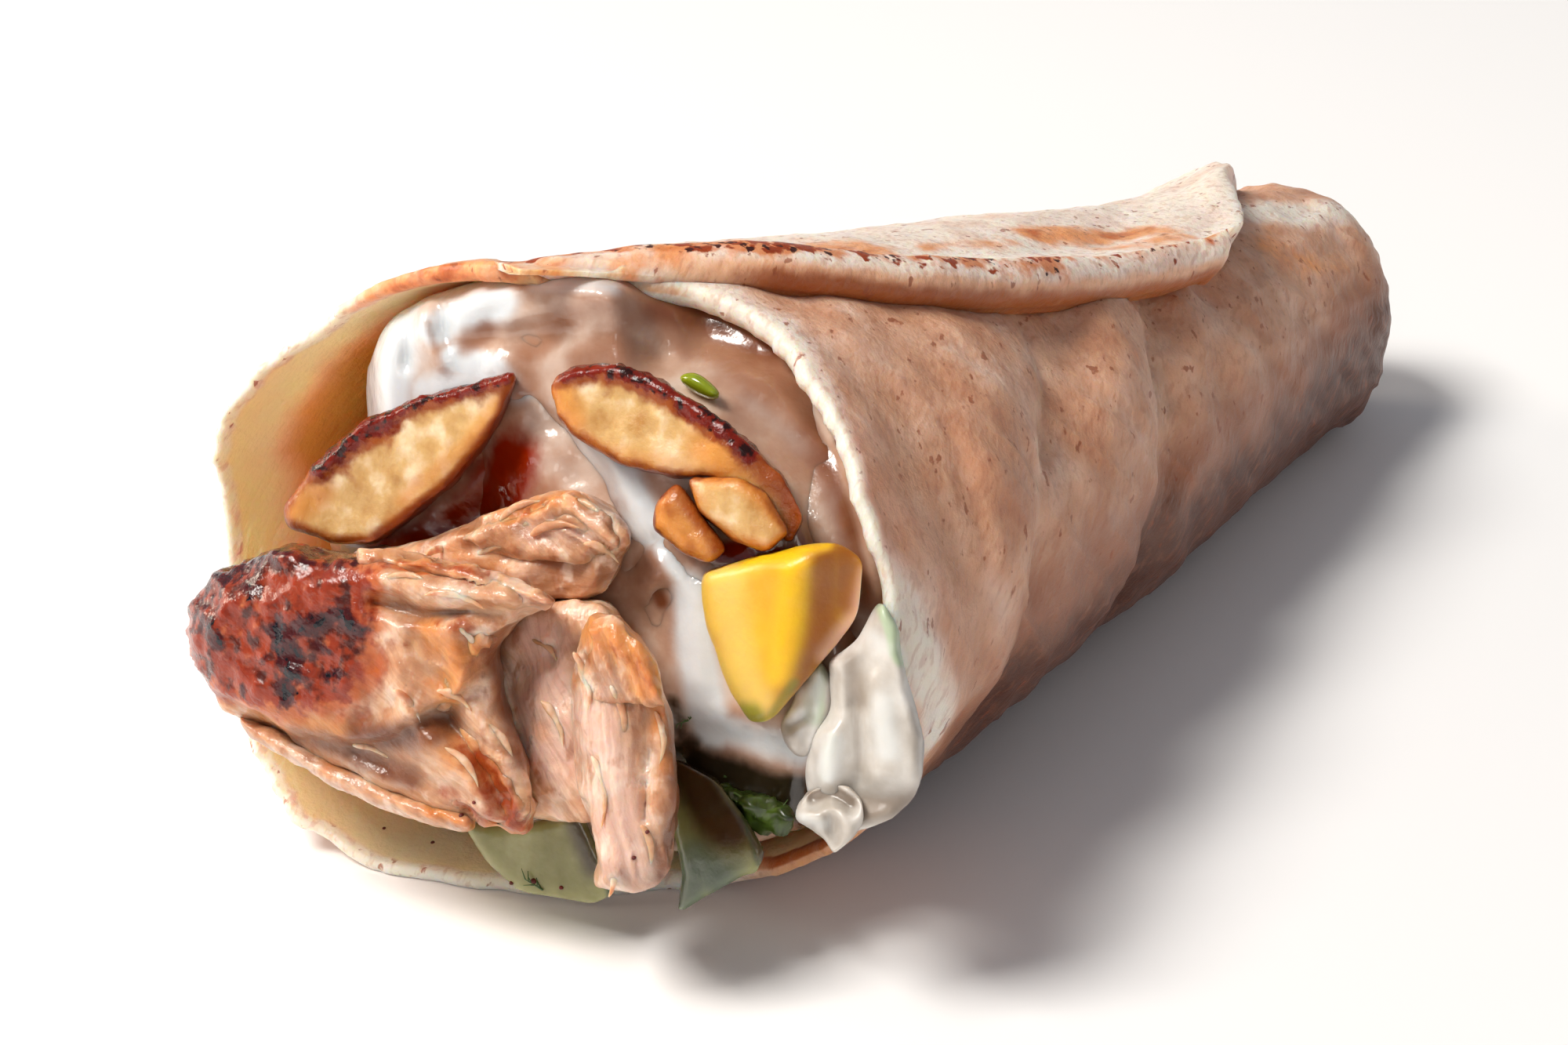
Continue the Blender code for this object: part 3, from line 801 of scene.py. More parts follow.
@dataclass
class Flatbread:
    """The bread: the inner turn, an open tube with a torn rim and a tucked tail, and the outer turn's flap on it."""

    roll: Roll = ROLL
    thickness: float = 3.0
    segments: int = 288
    outer_rings: int = 170
    inner_rings: int = 66
    outer_crowding: float = 1.3
    inner_crowding: float = 1.9
    # The wall is thinner at the torn rim, most on the far side.
    puffed: Curve = Curve(((0, -1.4), (25, -1.0), (50, -0.6), (75, 0.2), (95, 0.0), (130, -1.4), (160, -1.9),
                           (220, -1.9), (255, -1.3), (290, -0.8), (330, -1.2)), FULL_TURN)
    puff_length: float = 19.0
    # The rim is torn further back under the near cucumber.
    torn_back: Curve = Curve(((0, 0), (200, 0), (255, 0), (275, 2), (295, 5), (318, 3.5), (340, 0.5)), FULL_TURN)
    flap_rim: float = 6.0
    flap_overhang: float = 1.0
    flap_sink: float = 0.9
    # The lip rolls under: its radius, the angle that it is rolled to, and the skin that it takes.
    lip_radius: float = 2.9
    lip_under: float = -55.0
    lip_run: float = 7.0
    flap_cuts: tuple[int, int] = (230, 150)
    # Creases across the near side, as (along, angle) lines, and the swellings between them.
    creases: tuple[Stroke, ...] = (
        Stroke(wound((78, 62), (71, 48), (59, 29), (49, 9), (42, -14), (38, -30)), -2.2, 6.0),
        Stroke(wound((102, 58), (99, 46), (93, 31), (89, 15), (82, -8), (78, -25)), -2.4, 5.4),
        Stroke(wound((120, 62), (112, 40), (106, 20)), -1.1, 4.5),
        Stroke(wound((28, 52), (27, 36), (27, 12), (30, -20)), -1.1, 4.5),
        Stroke(wound((86, 50), (79, 32), (74, 12), (66, -10)), 1.4, 7.0),
        Stroke(wound((52, 52), (42, 30), (35, 5)), 1.2, 7.0),
        Stroke(wound((60, 40), (50, 20), (45, 0)), -0.7, 1.6), Stroke(wound((95, 44), (86, 20), (80, 4)), -0.8, 1.5),
        Stroke(wound((70, 60), (64, 42), (55, 26)), -0.7, 1.4), Stroke(wound((36, 40), (32, 18)), -0.6, 1.5),
        Stroke(wound((60, 200), (80, 190), (100, 200)), -1.0, 6.0),
        Stroke(wound((120, 180), (130, 150)), -0.9, 6.0),
    )
    toasted: tuple[Stroke, ...] = (
        Stroke(wound((34, 92), (46, 89), (58, 88)), 1.1, 5.5), Stroke(wound((40, 86), (54, 80)), 0.7, 3.0),
        Stroke(wound((26, 98), (36, 96)), 0.8, 4.0), Stroke(wound((70, 84), (84, 80)), 0.6, 3.0),
        Stroke(wound((92, 82), (104, 76), (112, 70)), 1.0, 4.0), Stroke(wound((98, 68), (112, 62)), 0.7, 3.0),
        Stroke(wound((2, 98), (8, 96)), 0.8, 4.0),
        Stroke(wound((16, 88), (22, 86)), 0.7, 4.0),
        Stroke(wound((60, 130), (80, 140)), 0.9, 9.0),
        Stroke(wound((110, 150), (125, 120)), 0.8, 8.0),
        Stroke(wound((30, 170), (50, 190)), 0.8, 9.0),
        Stroke(wound((140, 60), (152, 40)), 0.6, 6.0),
        Stroke(wound((150, 150), (160, 200)), 0.7, 8.0),
    )

    def wrinkles(self, angle: Array, along: Array, fine: float) -> Array:
        """The bread's relief: creases, puffed lumps, and fine wrinkles that slant round the roll.

        Args:
            angle: the angle round the roll.
            along: the distance behind the mouth.
            fine: the height of the fine wrinkles.

        Returns:
            The height at each place.
        """
        turn = np.radians(angle)
        place = np.stack([along, 36 * np.cos(turn), 36 * np.sin(turn)], axis=1)
        slant = place @ np.array(Matrix.Rotation(math.radians(52), 3, "Y"))
        height = 0.75 * lumps(place, 17, 3) + 0.28 * noise(place, 5.5, 8)
        height += fine * (1 - 2 * np.abs(noise(slant, (22, 7, 3.4), 5))) + 0.1 * noise(slant, (8, 3, 1.4), 6)
        near = np.mod(angle + 180, FULL_TURN) - 180
        for crease in self.creases:
            height += crease.on(along, np.where(crease.line[0][1] > 100 * ARC, np.mod(angle, FULL_TURN), near) * ARC)
        return height

    def torn(self, angle: Array) -> Array:
        """How far the torn rim strays from its smooth line."""
        turn = np.radians(angle)
        place = np.stack([40 * np.cos(turn), 40 * np.sin(turn), 0 * turn], axis=1)
        return 1.3 * noise(place, 8, 11) + 0.8 * noise(place, 3.2, 12) + 0.45 * noise(place, 1.2, 13)

    def marks(self, mesh: bpy.types.Mesh, angle: Array, along: Array, within: Array, outside_run: Array,
              edge: Array) -> None:
        """Stores where the bread is pale or painted lit, toasted, spotted, glowing with painted light inside, and in
        painted shade.

        Args:
            mesh: the mesh.
            angle: the angle round the roll.
            along: the distance behind the mouth.
            within: how far inside the mouth each vertex of the inner wall is, negative on the outside.
            outside_run: how far behind the torn edge each vertex is.
            edge: the distance round from the flap's free edge, on the flap only, otherwise far away.
        """
        near = np.mod(angle + 180, FULL_TURN) - 180
        arc = np.mod(angle, FULL_TURN) * ARC
        outside = (within <= 0).astype(float)
        rim_run = np.where(within > 0, within, np.abs(outside_run))
        pale = painted((Stroke(wound((10, 22), (14, 5), (18, -10)), 0.8, 6.0),
                        Stroke(wound((146, 78), (158, 70), (168, 64)), 0.85, 8.0)), along, near * ARC)
        on_flap = (edge < 900).astype(float)
        band = 2.6 + 3.4 * smooth_step((near - 35) / 30) * (near < 100)
        pale = np.maximum(pale, 0.85 * np.exp(-(rim_run / band) ** 2) * (1 - on_flap))
        # Painted shade low on the near side: it dims the pale rim there and adds shade under the rim.
        shaded = smooth_step(1.4 - np.abs(np.mod(angle, FULL_TURN) - 322) / 22)
        # The flap is made pale all over as painted light; the pale edge of the torn rim is the dough's own.
        pale = np.maximum(pale * outside, np.maximum(0.74 * on_flap, np.exp(-(rim_run / (1.6 + 1.2 * (within > 0))) ** 2)))
        store(mesh, "pale", pale * (1 - 0.8 * shaded))
        rim_toast = 0.95 * np.exp(-(rim_run / 3.4) ** 2) * smooth_step(1.6 - np.abs(angle - 112) / 20) * (1 - on_flap)
        store(mesh, "toast", np.maximum(painted(self.toasted, along, arc) * outside, rim_toast))
        place = np.stack([along, arc, 0 * arc], axis=1)
        clusters = smooth_step(0.45 + 0.9 * noise(place, 9, 44) + 0.4 * noise(place, 3, 45))
        line = np.exp(-((edge - 6.8) / 1.9) ** 2) + 0.6 * np.exp(-((edge - 10) / 4) ** 2)
        front = smooth_step((70 - along) / 50)
        scorch = np.exp(-((along - 30) / 10) ** 2)
        store(mesh, "spots", np.minimum(line * (0.36 + 0.26 * front + 0.5 * clusters + 0.35 * scorch),
                                        0.7 + 0.14 * scorch) * on_flap)
        # Painted shade under the flap's lip, with less of it near the mouth, and under the rim low on the near side.
        store(mesh, "under", smooth_step((6.0 - edge) / 4.4) * smooth_step((along - 8) / 30) * on_flap
              + 1.1 * smooth_step(within + 1.5) * shaded)
        # Painted shade: darker towards the bottom of the near side and low on the tail.
        warm = smooth_step((26 - near + 0.22 * (along - 50)) / 58) * smooth_step((near + 120) / 40) * (1 - on_flap)
        tail = 0.95 * smooth_step((along - 140) / 26) * smooth_step((48 - near) / 40) * smooth_step((near + 120) / 40)
        warm = np.maximum(warm * smooth_step((along - 2) / 46), tail)
        store(mesh, "warm", warm * outside)
        # Painted light inside the mouth: brighter cream in from the rim, then amber deeper in.
        store(mesh, "inside", smooth_step((within - 0.4) / 2.8) * (1 - on_flap))
        deep = within - 5 * smooth_step((np.mod(angle, FULL_TURN) - 225) / 30) + 2.5 * noise(place, 9, 47)
        store(mesh, "amber", smooth_step((deep - 3) / 12) * (1 - on_flap))

    def build_turn(self) -> bpy.types.Mesh:
        """The inner turn: one closed skin that runs from the tail over the outside, round the rim, and back inside.

        Returns:
            Its mesh.
        """
        rings = self.outer_rings + self.inner_rings
        bm, ring, angle = ball(self.segments, rings)
        mesh = to_mesh("flatbread_turn", bm)
        outside = ring <= self.outer_rings
        share = np.where(outside, ((self.outer_rings - ring) / self.outer_rings).clip(0) ** self.outer_crowding,
                         ((ring - self.outer_rings) / self.inner_rings).clip(0) ** self.inner_crowding)
        roll = self.roll
        start = roll.rim.at(angle) + self.torn(angle) + self.torn_back.at(angle)
        bend = np.maximum(share - 1 + roll.cap_share, 0) / roll.cap_share * math.pi / 2
        size = np.cos(bend)
        cap = np.where(outside, roll.cap, roll.cap - self.thickness)
        along = start + (roll.length - start) * np.minimum(share / (1 - roll.cap_share), 1) + cap * np.sin(bend)
        run = along - start
        wall = self.thickness + self.puffed.at(angle) * np.exp(-(run / self.puff_length) ** 2)
        half = wall / 2
        fold = half - np.sqrt(np.maximum(half ** 2 - np.maximum(half - run, 0) ** 2, 0))
        relief = self.wrinkles(angle, along, 0.3) * smooth_step(run / 6)
        lift = np.where(outside, relief * size - fold, (-wall + fold + 0.3 * relief) * size)
        write_points(mesh, roll.at(angle, along, lift, size) * MM)
        face_out(mesh)
        within = np.where(outside, -1.0, run)
        self.marks(mesh, angle, along, within, run, np.full(len(angle), 999.0))
        return mesh

    def build_flap(self) -> bpy.types.Mesh:
        """The outer turn's overlap: a slab over the top and back with a rolled lip along its free edge.

        Returns:
            Its mesh.
        """
        bm = bmesh.new()
        bmesh.ops.create_cube(bm, size=1)
        for axis, cuts in enumerate((*self.flap_cuts, 3)):
            edges = [edge for edge in bm.edges if abs(edge.verts[0].co[axis] - edge.verts[1].co[axis]) > 0.5]
            bmesh.ops.subdivide_edges(bm, edges=edges, cuts=cuts, use_grid_fill=True)
        mesh = to_mesh("flatbread_flap", bm)
        length, share, outer = (read_points(mesh) + 0.5).T
        share = share ** 1.8
        roll = self.roll
        along = np.full(len(length), roll.length / 2)
        for _ in range(8):
            edge = roll.free_edge.at(along)
            angle = edge + (roll.flap_root - edge) * share
            start = np.minimum(roll.rim.at(angle) + 0.8 * self.torn(angle), self.flap_rim) - self.flap_overhang
            start = start + roll.bare.at(angle)
            ragged = 0.8 * self.torn(angle * 1.7 + 40)
            along = start + (roll.flap_end.at(angle) + ragged - start) * length
        run = roll.flap_end.at(angle) - start
        from_edge = (angle - edge) * ARC
        body = 0.3 + 0.7 * smooth_step((along - 4) / 34)
        fold = np.radians(self.lip_under + (90 - self.lip_under) * np.minimum(from_edge / self.lip_run, 1))
        fallen = smooth_step((from_edge - self.lip_run) / 9)
        rounding = np.minimum((roll.flap_root - angle) / 40, 1)
        lip = np.where(outer > 0, (1 - np.cos(fold)) - 1, 0) * self.lip_radius * body
        pulled = np.minimum(from_edge, self.lip_run) * (self.lip_radius / self.lip_run) - from_edge
        angle = angle + (lip + pulled * (1 - smooth_step((from_edge - self.lip_run) / 14)) * body) / ARC
        angle = np.where(outer > 0, angle, np.maximum(angle, edge + 1.2 / ARC))
        ends = np.minimum(length, 1 - length) * run
        rounding *= 0.2 + 0.8 * np.sqrt(1 - (1 - np.minimum(ends / 2.4, 1)) ** 2)
        relief = self.wrinkles(angle + 25, along * 0.9 + 60, 0.18) * 0.6 * np.minimum(from_edge / 6, 1)
        rise = self.lip_radius * (1 + np.sin(fold))
        thick = np.where(angle > 90, roll.joined(angle, along), 1)
        top = (rise + (roll.flap - rise) * fallen) * rounding * body * thick + relief * rounding
        tip = 1.6 * smooth_step((length - 0.9) / 0.1) * smooth_step((roll.flap_root - angle) / 60)
        lift = -self.flap_sink + (top + self.flap_sink) * outer + tip
        write_points(mesh, roll.at(angle, along, lift) * MM)
        face_out(mesh)
        self.marks(mesh, angle, along, np.full(len(angle), -1.0), 99 + 0 * along, from_edge)
        return mesh

    def build(self) -> None:
        """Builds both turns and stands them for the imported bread."""
        material = BREAD.material()
        show(self.build_turn(), material, ("flatbread",))
        show(self.build_flap(), material, ())


# ---------------------------------------------------------------- the mouth's face, and what lies on it


@dataclass(frozen=True)
class Face:
    """The plane across the mouth that the filling is laid out on: across, up, and proud of it."""

    turn: float = 51.2
    tip: float = 26.9
    slope_up: float = 0.28
    slope_far: float = -0.17

    def axes(self) -> tuple[Array, Array, Array]:
        """The directions across, up and out of the face."""
        turned = np.array(
            Matrix.Rotation(-math.radians(self.turn), 3, "Z") @ Matrix.Rotation(-math.radians(self.tip), 3, "X")
        )
        return turned[:, 0], turned[:, 2], -turned[:, 1]

    def at(self, across: Array, up: Array, proud: float, height: Array | float = 0.0) -> Array:
        """Points laid out on the face.

        Args:
            across: the distance to the right of the mouth's middle.
            up: the distance above it.
            proud: how far the piece's own plane stands out of the mouth's sloping one.
            height: how far each point stands out of the piece's plane.

        Returns:
            n by 3 positions.
        """
        right, rise, out = self.axes()
        slope = np.array((1, -self.slope_far, -self.slope_up))
        flat = np.outer(across, right) + np.outer(up, rise)
        back = (proud + flat @ slope) / (slope @ out)
        return ROLL.middle() + flat + np.outer(height - back, out)

    def read(self, points: Array) -> tuple[Array, Array, Array]:
        """Where points lie on the face: across, up, and how far each stands out of its sloping plane."""
        right, rise, out = self.axes()
        away = points - ROLL.middle()
        across, up = away @ right, away @ rise
        return across, up, (points - self.at(across, up, 0)) @ out


FACE = Face()


@dataclass(frozen=True)
class Fibres:
    """Meat fibres: the direction that they run on the face, and their length, width and height."""

    direction: float
    length: float = 9.0
    width: float = 1.3
    height: float = 0.35
    wander: float = 1.2


@dataclass(frozen=True)
class Facet:
    """A plane that a piece is cut by: through a point of its face, tilting back in a direction."""

    through: tuple[float, float]
    height: float
    direction: float
    slope: float

    def on(self, across: Array, up: Array) -> Array:
        """The plane's height at each place."""
        turn = math.radians(self.direction)
        away = (across - self.through[0]) * math.cos(turn) + (up - self.through[1]) * math.sin(turn)
        return self.height - self.slope * away


@dataclass(frozen=True)
class Piece:
    """A piece of filling, cut to an outline on the mouth's face and swollen to its front and back.

    Edge is how far in from the outline its face rounds over, and side the share of its depth that stands upright
    there. Reliefs are sculpted on its front, facets cut it, and marks are painted by name for its finish."""

    name: str
    finish: Finish
    slot: Slot
    outline: Points
    proud: float
    front: float
    back: float
    edge: float = 3.0
    side: float = 0.3
    rounding: float = 2.0
    ragged: float = 0.0
    voxel: float = 0.45
    smoothing: int = 2
    lumpy: float = 0.25
    lump_size: float = 5.0
    seed: float = 0.0
    fibres: Fibres | None = None
    reliefs: tuple[Stroke | Raised, ...] = ()
    facets: tuple[Facet, ...] = ()
    marks: dict[str, tuple[Stroke | Raised, ...]] = field(default_factory=dict)
    rim_mark: float = 1.2
    blistered: tuple[str, ...] = ()
    blister: float = 0.35
    half: float = 2.0
    # For a piece that fills the roll: the thickness of bread that it stays inside, and how far behind the rim.
    walled: tuple[float, float] | None = None

    def blank(self) -> bpy.types.Mesh:
        """The outline as a plate of even faces, from -half to half thick."""
        bm = bmesh.new()
        corners = [bm.verts.new((x, y, -self.half)) for x, y in rounded(self.outline, self.rounding)]
        face = bm.faces.new(corners)
        grown = bmesh.ops.extrude_face_region(bm, geom=[face], use_keep_orig=True)["geom"]
        tops = [item for item in grown if isinstance(item, bmesh.types.BMVert)]
        bmesh.ops.translate(bm, verts=tops, vec=(0, 0, 2 * self.half))
        bmesh.ops.recalc_face_normals(bm, faces=bm.faces)
        return remeshed(to_mesh(self.name, bm), self.voxel)

    def heights(self, across: Array, up: Array, level: Array) -> Array:
        """How far each vertex of the plate stands out of the piece's plane.

        Args:
            across: its place across the face.
            up: its place up the face.
            level: its level in the plate, from -1 to 1.

        Returns:
            The heights.
        """
        place = np.stack([across, up, 0 * up], axis=1)
        stray = self.ragged * (noise(place, 3.2, self.seed + 8) + 0.6 * noise(place, 1.3, self.seed + 9))
        edge = np.clip((inside_by(rounded(self.outline, self.rounding), across, up) + stray) / self.edge, 0, 1)
        profile = self.side + (1 - self.side) * np.sqrt(1 - (1 - edge) ** 2)
        top = np.full(across.shape, self.front)
        for facet in self.facets:
            cut = facet.on(across, up)
            top = np.minimum(top, cut) if not self.smoothing else -np.logaddexp(-top * 2.5, -cut * 2.5) / 2.5
        top = top + sum(relief.on(across, up) for relief in self.reliefs)
        return np.where(level > 0, np.maximum(top, 0.4), self.back) * level * profile

    def build(self, material: bpy.types.Material) -> bpy.types.Object:
        """Builds the piece.

        Args:
            material: its finish's material.

        Returns:
            The piece in the scene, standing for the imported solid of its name.
        """
        mesh = self.blank()
        across, up, level = read_points(mesh).T
        level = np.clip(level / self.half, -1, 1)
        height = self.heights(across, up, level)
        placed = FACE.at(across, up, self.proud, height)
        write_points(mesh, ROLL.drawn_in(placed, *self.walled) if self.walled else placed)
        smoothed(mesh, self.smoothing)
        face_out(mesh)
        points = read_points(mesh)
        across, up, _ = FACE.read(points)
        bulge = self.lumpy * lumps(points, self.lump_size, self.seed)
        fibre = np.zeros(len(points))
        if self.fibres:
            fibre, run, cross = self.fibre(across, up, points)
            store(mesh, "fibre_run", run)
            store(mesh, "fibre_cross", cross)
            bulge = bulge + self.fibres.height * (fibre - 0.6) * 2
        for mark in self.blistered:
            fried = painted(self.marks[mark], across, up)
            bulge = bulge + self.blister * fried * (0.6 * noise(points, 1.6, 77) + 0.4 * noise(points, 0.8, 78))
        write_points(mesh, (points + read_normals(mesh) * bulge[:, None]) * MM)
        # Painted shade in the fibre grooves: 1 in the grooves, 0 on the ridges.
        store(mesh, "groove", 1 - fibre)
        rim = np.exp(-np.maximum(inside_by(self.outline, across, up), 0) / self.rim_mark)
        store(mesh, "rim", np.where(level > 0.9, rim, 1.0))
        for mark, strokes in self.marks.items():
            store(mesh, mark, painted(strokes, across, up))
        mesh.shade_smooth()
        mesh.name = self.name + "_cooked"
        packed = (self.name,) if self.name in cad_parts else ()
        return show(mesh, material, packed)

    def fibre(self, across: Array, up: Array, points: Array) -> tuple[Array, Array, Array]:
        """The meat's fibres: from 0 in the grooves to 1 on the ridges, the distance along them, and across them."""
        turn = math.radians(self.fibres.direction)
        run = across * math.cos(turn) + up * math.sin(turn)
        cross = up * math.cos(turn) - across * math.sin(turn)
        cross = cross + self.fibres.wander * noise(points, 8, self.seed + 3)
        deep = points @ FACE.axes()[2]
        place = np.stack([run / self.fibres.length, cross / self.fibres.width, deep / (2 * self.fibres.width)], axis=1)
        coarse = 1 - np.abs(noise(place / 2.4, 1, self.seed + 5)) * 1.6
        fine = 1 - np.abs(noise(place, 1, self.seed + 6)) * 1.6
        return np.clip(0.6 * coarse + 0.4 * fine, 0, 1), run, cross + 0.7 * deep


def dot(across: float, up: float, rise: float, width: float) -> Stroke:
    """A round bump or mark."""
    return Stroke(((across, up),), rise, width)


CHARRED = Piece(
    "chicken_charred", CHICKEN, Slot.CHICKEN,
    ((-42.5, -4), (-41.5, 0), (-37, 3), (-29, 6.5), (-23, 5), (-15.5, 5), (-7, 3.5), (0, 1.5), (3, -0.5),
     (-1.5, -2.5), (-4, -5), (-3.5, -11.5), (-1, -18), (0.5, -24), (-2, -26), (-7, -25.5), (-14.5, -23.5),
     (-23.5, -20), (-31.5, -15.5), (-37.5, -14), (-41, -8)),
    proud=11, front=6, back=12, edge=6, side=0.3, voxel=0.36, smoothing=1, lumpy=0.4, lump_size=6, seed=21,
    fibres=Fibres(-28, 9, 2.2, 0.35, 1.6), ragged=0.4, blistered=("grilled",),
    reliefs=(
        Raised(((-42, -4), (-41, 1), (-37, 3), (-29, 6.5), (-15.5, 5), (-7, 3.5), (0, 1.5), (-1.5, -2.5), (-4.3, -5),
                (-6, -8), (-7.5, -11), (-12, -12.3), (-16, -15.5), (-22, -17), (-30, -15), (-40, -10)), 2.6, 1.6),
        Stroke(((-17.5, -0.6), (-12, -1.8), (-7, -1.2), (-1, -1.8)), -2.2, 1.0),
        Stroke(((-30, 5.4), (-20, 3.6), (-10, 1.9), (-2, 0.2)), 1.3, 1.5),
        Stroke(((-24, 1.5), (-15, 1.6), (-8, 0.4)), 0.8, 1.2),
        Stroke(((-16, 4.6), (-9, 2.6)), -0.9, 0.7),
        Stroke(((-13, -5), (-10, -10)), -1.0, 1.2), Stroke(((-9, -4), (-7.4, -9)), 0.9, 1.5),
        Stroke(((-15, -8), (-14, -13)), 0.9, 1.6), Stroke(((-20, -14), (-15.5, -11.5)), -0.8, 1.2),
        Stroke(((-25, 0), (-28, -6), (-30, -11)), 1.4, 4.5), Stroke(((-35, -1), (-38, -6)), 0.9, 3.5),
        Stroke(((-20, -3), (-21, -9)), 1.0, 2.0), dot(-34, -3.5, -0.8, 2.0), dot(-24.5, -12, 0.9, 2.2),
        Stroke(((-13, -14.5), (-8, -19), (-5, -24)), 1.5, 1.8), Stroke(((-9.5, -13.5), (-5.5, -18), (-3, -23)), -1.6, 1.2),
        Stroke(((-6, -12.5), (-2.5, -19)), 1.0, 1.2), Stroke(((-21, -18), (-14, -20), (-8, -24)), -0.9, 1.3),
        Stroke(((-26, -17.5), (-17, -20.5), (-8, -24.5)), 0.7, 1.0), dot(-12, -16.5, 1.0, 1.6),
    ),
    marks={
        "grilled": (
            Raised(((-44, -6), (-43, 3), (-34, 7), (-27, 8), (-20, 5), (-17.5, 2.5), (-17, -1), (-17.5, -7), (-21, -13),
                    (-28, -13.5), (-36, -12.5), (-42, -11)), 1.0, 6.0),
            Stroke(((-17, 3.9), (-12, 3.2)), 0.7, 0.9), Stroke(((-26, 4.5), (-18, 3)), 0.8, 1.2),
        ),
        "char": (
            dot(-32.5, 0.8, 0.9, 1.6), Stroke(((-37.5, -3), (-36.6, -5.5)), 0.85, 1.3), dot(-34, -10.4, 0.8, 1.2),
            Stroke(((-29, -4), (-28, -6.5), (-27.6, -8.5)), 1.0, 2.0), Stroke(((-28.6, -10), (-28.2, -11)), 1.0, 1.5),
            Stroke(((-27, -3.6), (-22, -2), (-19.5, -3.4)), 0.85, 1.7), dot(-22.6, -8.4, 0.95, 1.2),
            dot(-24, -5.5, 0.75, 1.6), dot(-31, -7, 0.6, 1.2),
            Stroke(((-41, 0.5), (-36, 3.4), (-29, 5.6), (-20, 5)), 0.68, 2.6), Stroke(((-40, -3), (-38, 0)), 0.55, 2.4),
        ),
        "orange": (
            Stroke(((-16, -5), (-18, -10), (-20, -13.5)), 0.65, 1.8), Stroke(((-8, -2.6), (-5, -5)), 0.7, 1.4),
            dot(-10.5, -2.4, 0.7, 0.9), dot(-14, -5.2, 0.7, 0.8), dot(-3.6, -22.5, 0.7, 2.2),
            Stroke(((-7, -17), (-4, -21), (-2.5, -24)), 0.85, 2.4), Stroke(((-10, -22), (-5, -25)), 0.7, 1.5),
            Stroke(((-13, 3.2), (-9, 2.4), (-6, 1.4)), 0.65, 0.8), dot(-6, 1.6, 0.8, 0.6),
        ),
        "golden": (
            Stroke(((-38, -10.6), (-30, -13.6), (-22, -15)), 0.9, 2.2), Stroke(((-11, -4), (-8, -6.5), (-9, -10)), 0.8, 3.2), Stroke(((-12, -15), (-6, -19)), 0.8, 3.0),
            Stroke(((-40, -8), (-36, -12)), 0.8, 2.2), Stroke(((-20, 4.6), (-9, 3.4)), 0.6, 1.4),
        ),
        "shade": (
            Stroke(((-20, -15.5), (-13, -15.5), (-9, -14)), 0.95, 2.6), Stroke(((-28, -16), (-22, -17.6), (-14, -20.5)), 0.85, 2.2),
            Stroke(((-4, -6), (-3, -12), (-1, -18)), 0.9, 1.6), Stroke(((-17.5, -0.8), (-7, -1.4)), 0.7, 0.7),
        ),
    },
)
TORN = Piece(
    "chicken_torn", CHICKEN, Slot.CHICKEN,
    ((6.5, -2), (9.5, -1.5), (12, -3.5), (14.5, -7), (16, -13.5), (16.5, -20.5), (16.4, -27), (15.6, -30.6),
     (13.6, -32), (10, -32.4), (6.6, -32.6), (7.6, -28), (5.5, -22), (4.5, -15), (4.5, -8)),
    proud=11, front=4.5, back=8, edge=3.5, side=0.3, voxel=0.33, smoothing=1, lumpy=0.4, seed=31,
    fibres=Fibres(-84, 13, 1.3, 0.3, 0.9), ragged=0.5,
    reliefs=(
        Stroke(((8, -3), (9, -12), (9.5, -22), (10.5, -30)), 1.2, 2.4), Stroke(((5, -6), (6.3, -16)), 0.8, 1.2),
        Stroke(((13.5, -8), (13.2, -16), (12.8, -20)), -1.0, 1.0), Stroke(((13.3, -20), (13, -24)), -1.3, 0.6),
        Stroke(((13.6, -17), (13.4, -18.4)), -0.9, 0.5), Stroke(((8, -25), (8.5, -31)), 0.8, 1.6),
    ),
    marks={
        "golden": (Stroke(((7, -3), (11.5, -4.5), (12, -9)), 0.9, 2.6), Stroke(((14, -10), (15.4, -18)), 0.75, 1.6)),
        "orange": (Stroke(((9, -5), (11.5, -6.5)), 0.5, 1.2), dot(13.2, -20.6, 0.75, 0.5), dot(13.1, -22.4, 0.8, 0.5),
                   dot(13.1, -25, 0.8, 0.4), dot(11.8, -28.3, 0.75, 0.4)),
        "pink": (Stroke(((7, -13), (9, -18), (10, -24), (11, -29)), 1.1, 3.8),),
        "shade": (Stroke(((16.4, -12), (16.4, -24), (15, -31)), 0.8, 1.6), Stroke(((8, -29.5), (13, -31.5)), 0.5, 2.2)),
    },
)
BACK = Piece(
    "chicken_back", CHICKEN, Slot.CHICKEN,
    ((-5, -1.5), (3, 0), (9, -1), (11, -8), (11, -17), (11, -24.5), (3.5, -26), (-3, -24), (-8, -14), (-8, -5)),
    proud=4, front=5, back=8, edge=5, side=0.4, voxel=0.4, lumpy=0.6, seed=41, fibres=Fibres(-64, 10, 2.2, 0.25, 1.2),
    reliefs=(dot(1.5, -9, 0.9, 2.0), Stroke(((3, -3.5), (2, -7)), -0.8, 0.8), Stroke(((-3, -8), (-1, -16)), -0.8, 1.5),
             Stroke(((2, -13), (3.5, -20)), 0.9, 2.4)),
    marks={"shade": (Stroke(((-5, -8), (-2, -3)), 0.7, 2.0), Stroke(((-5, -15), (-1, -20)), 0.5, 1.6)),
           "pink": (Stroke(((1, -5), (2, -18)), 1.2, 3.8),), "golden": (dot(1, -15, 0.5, 1.8), dot(3.5, -20, 0.5, 2.0))},
)
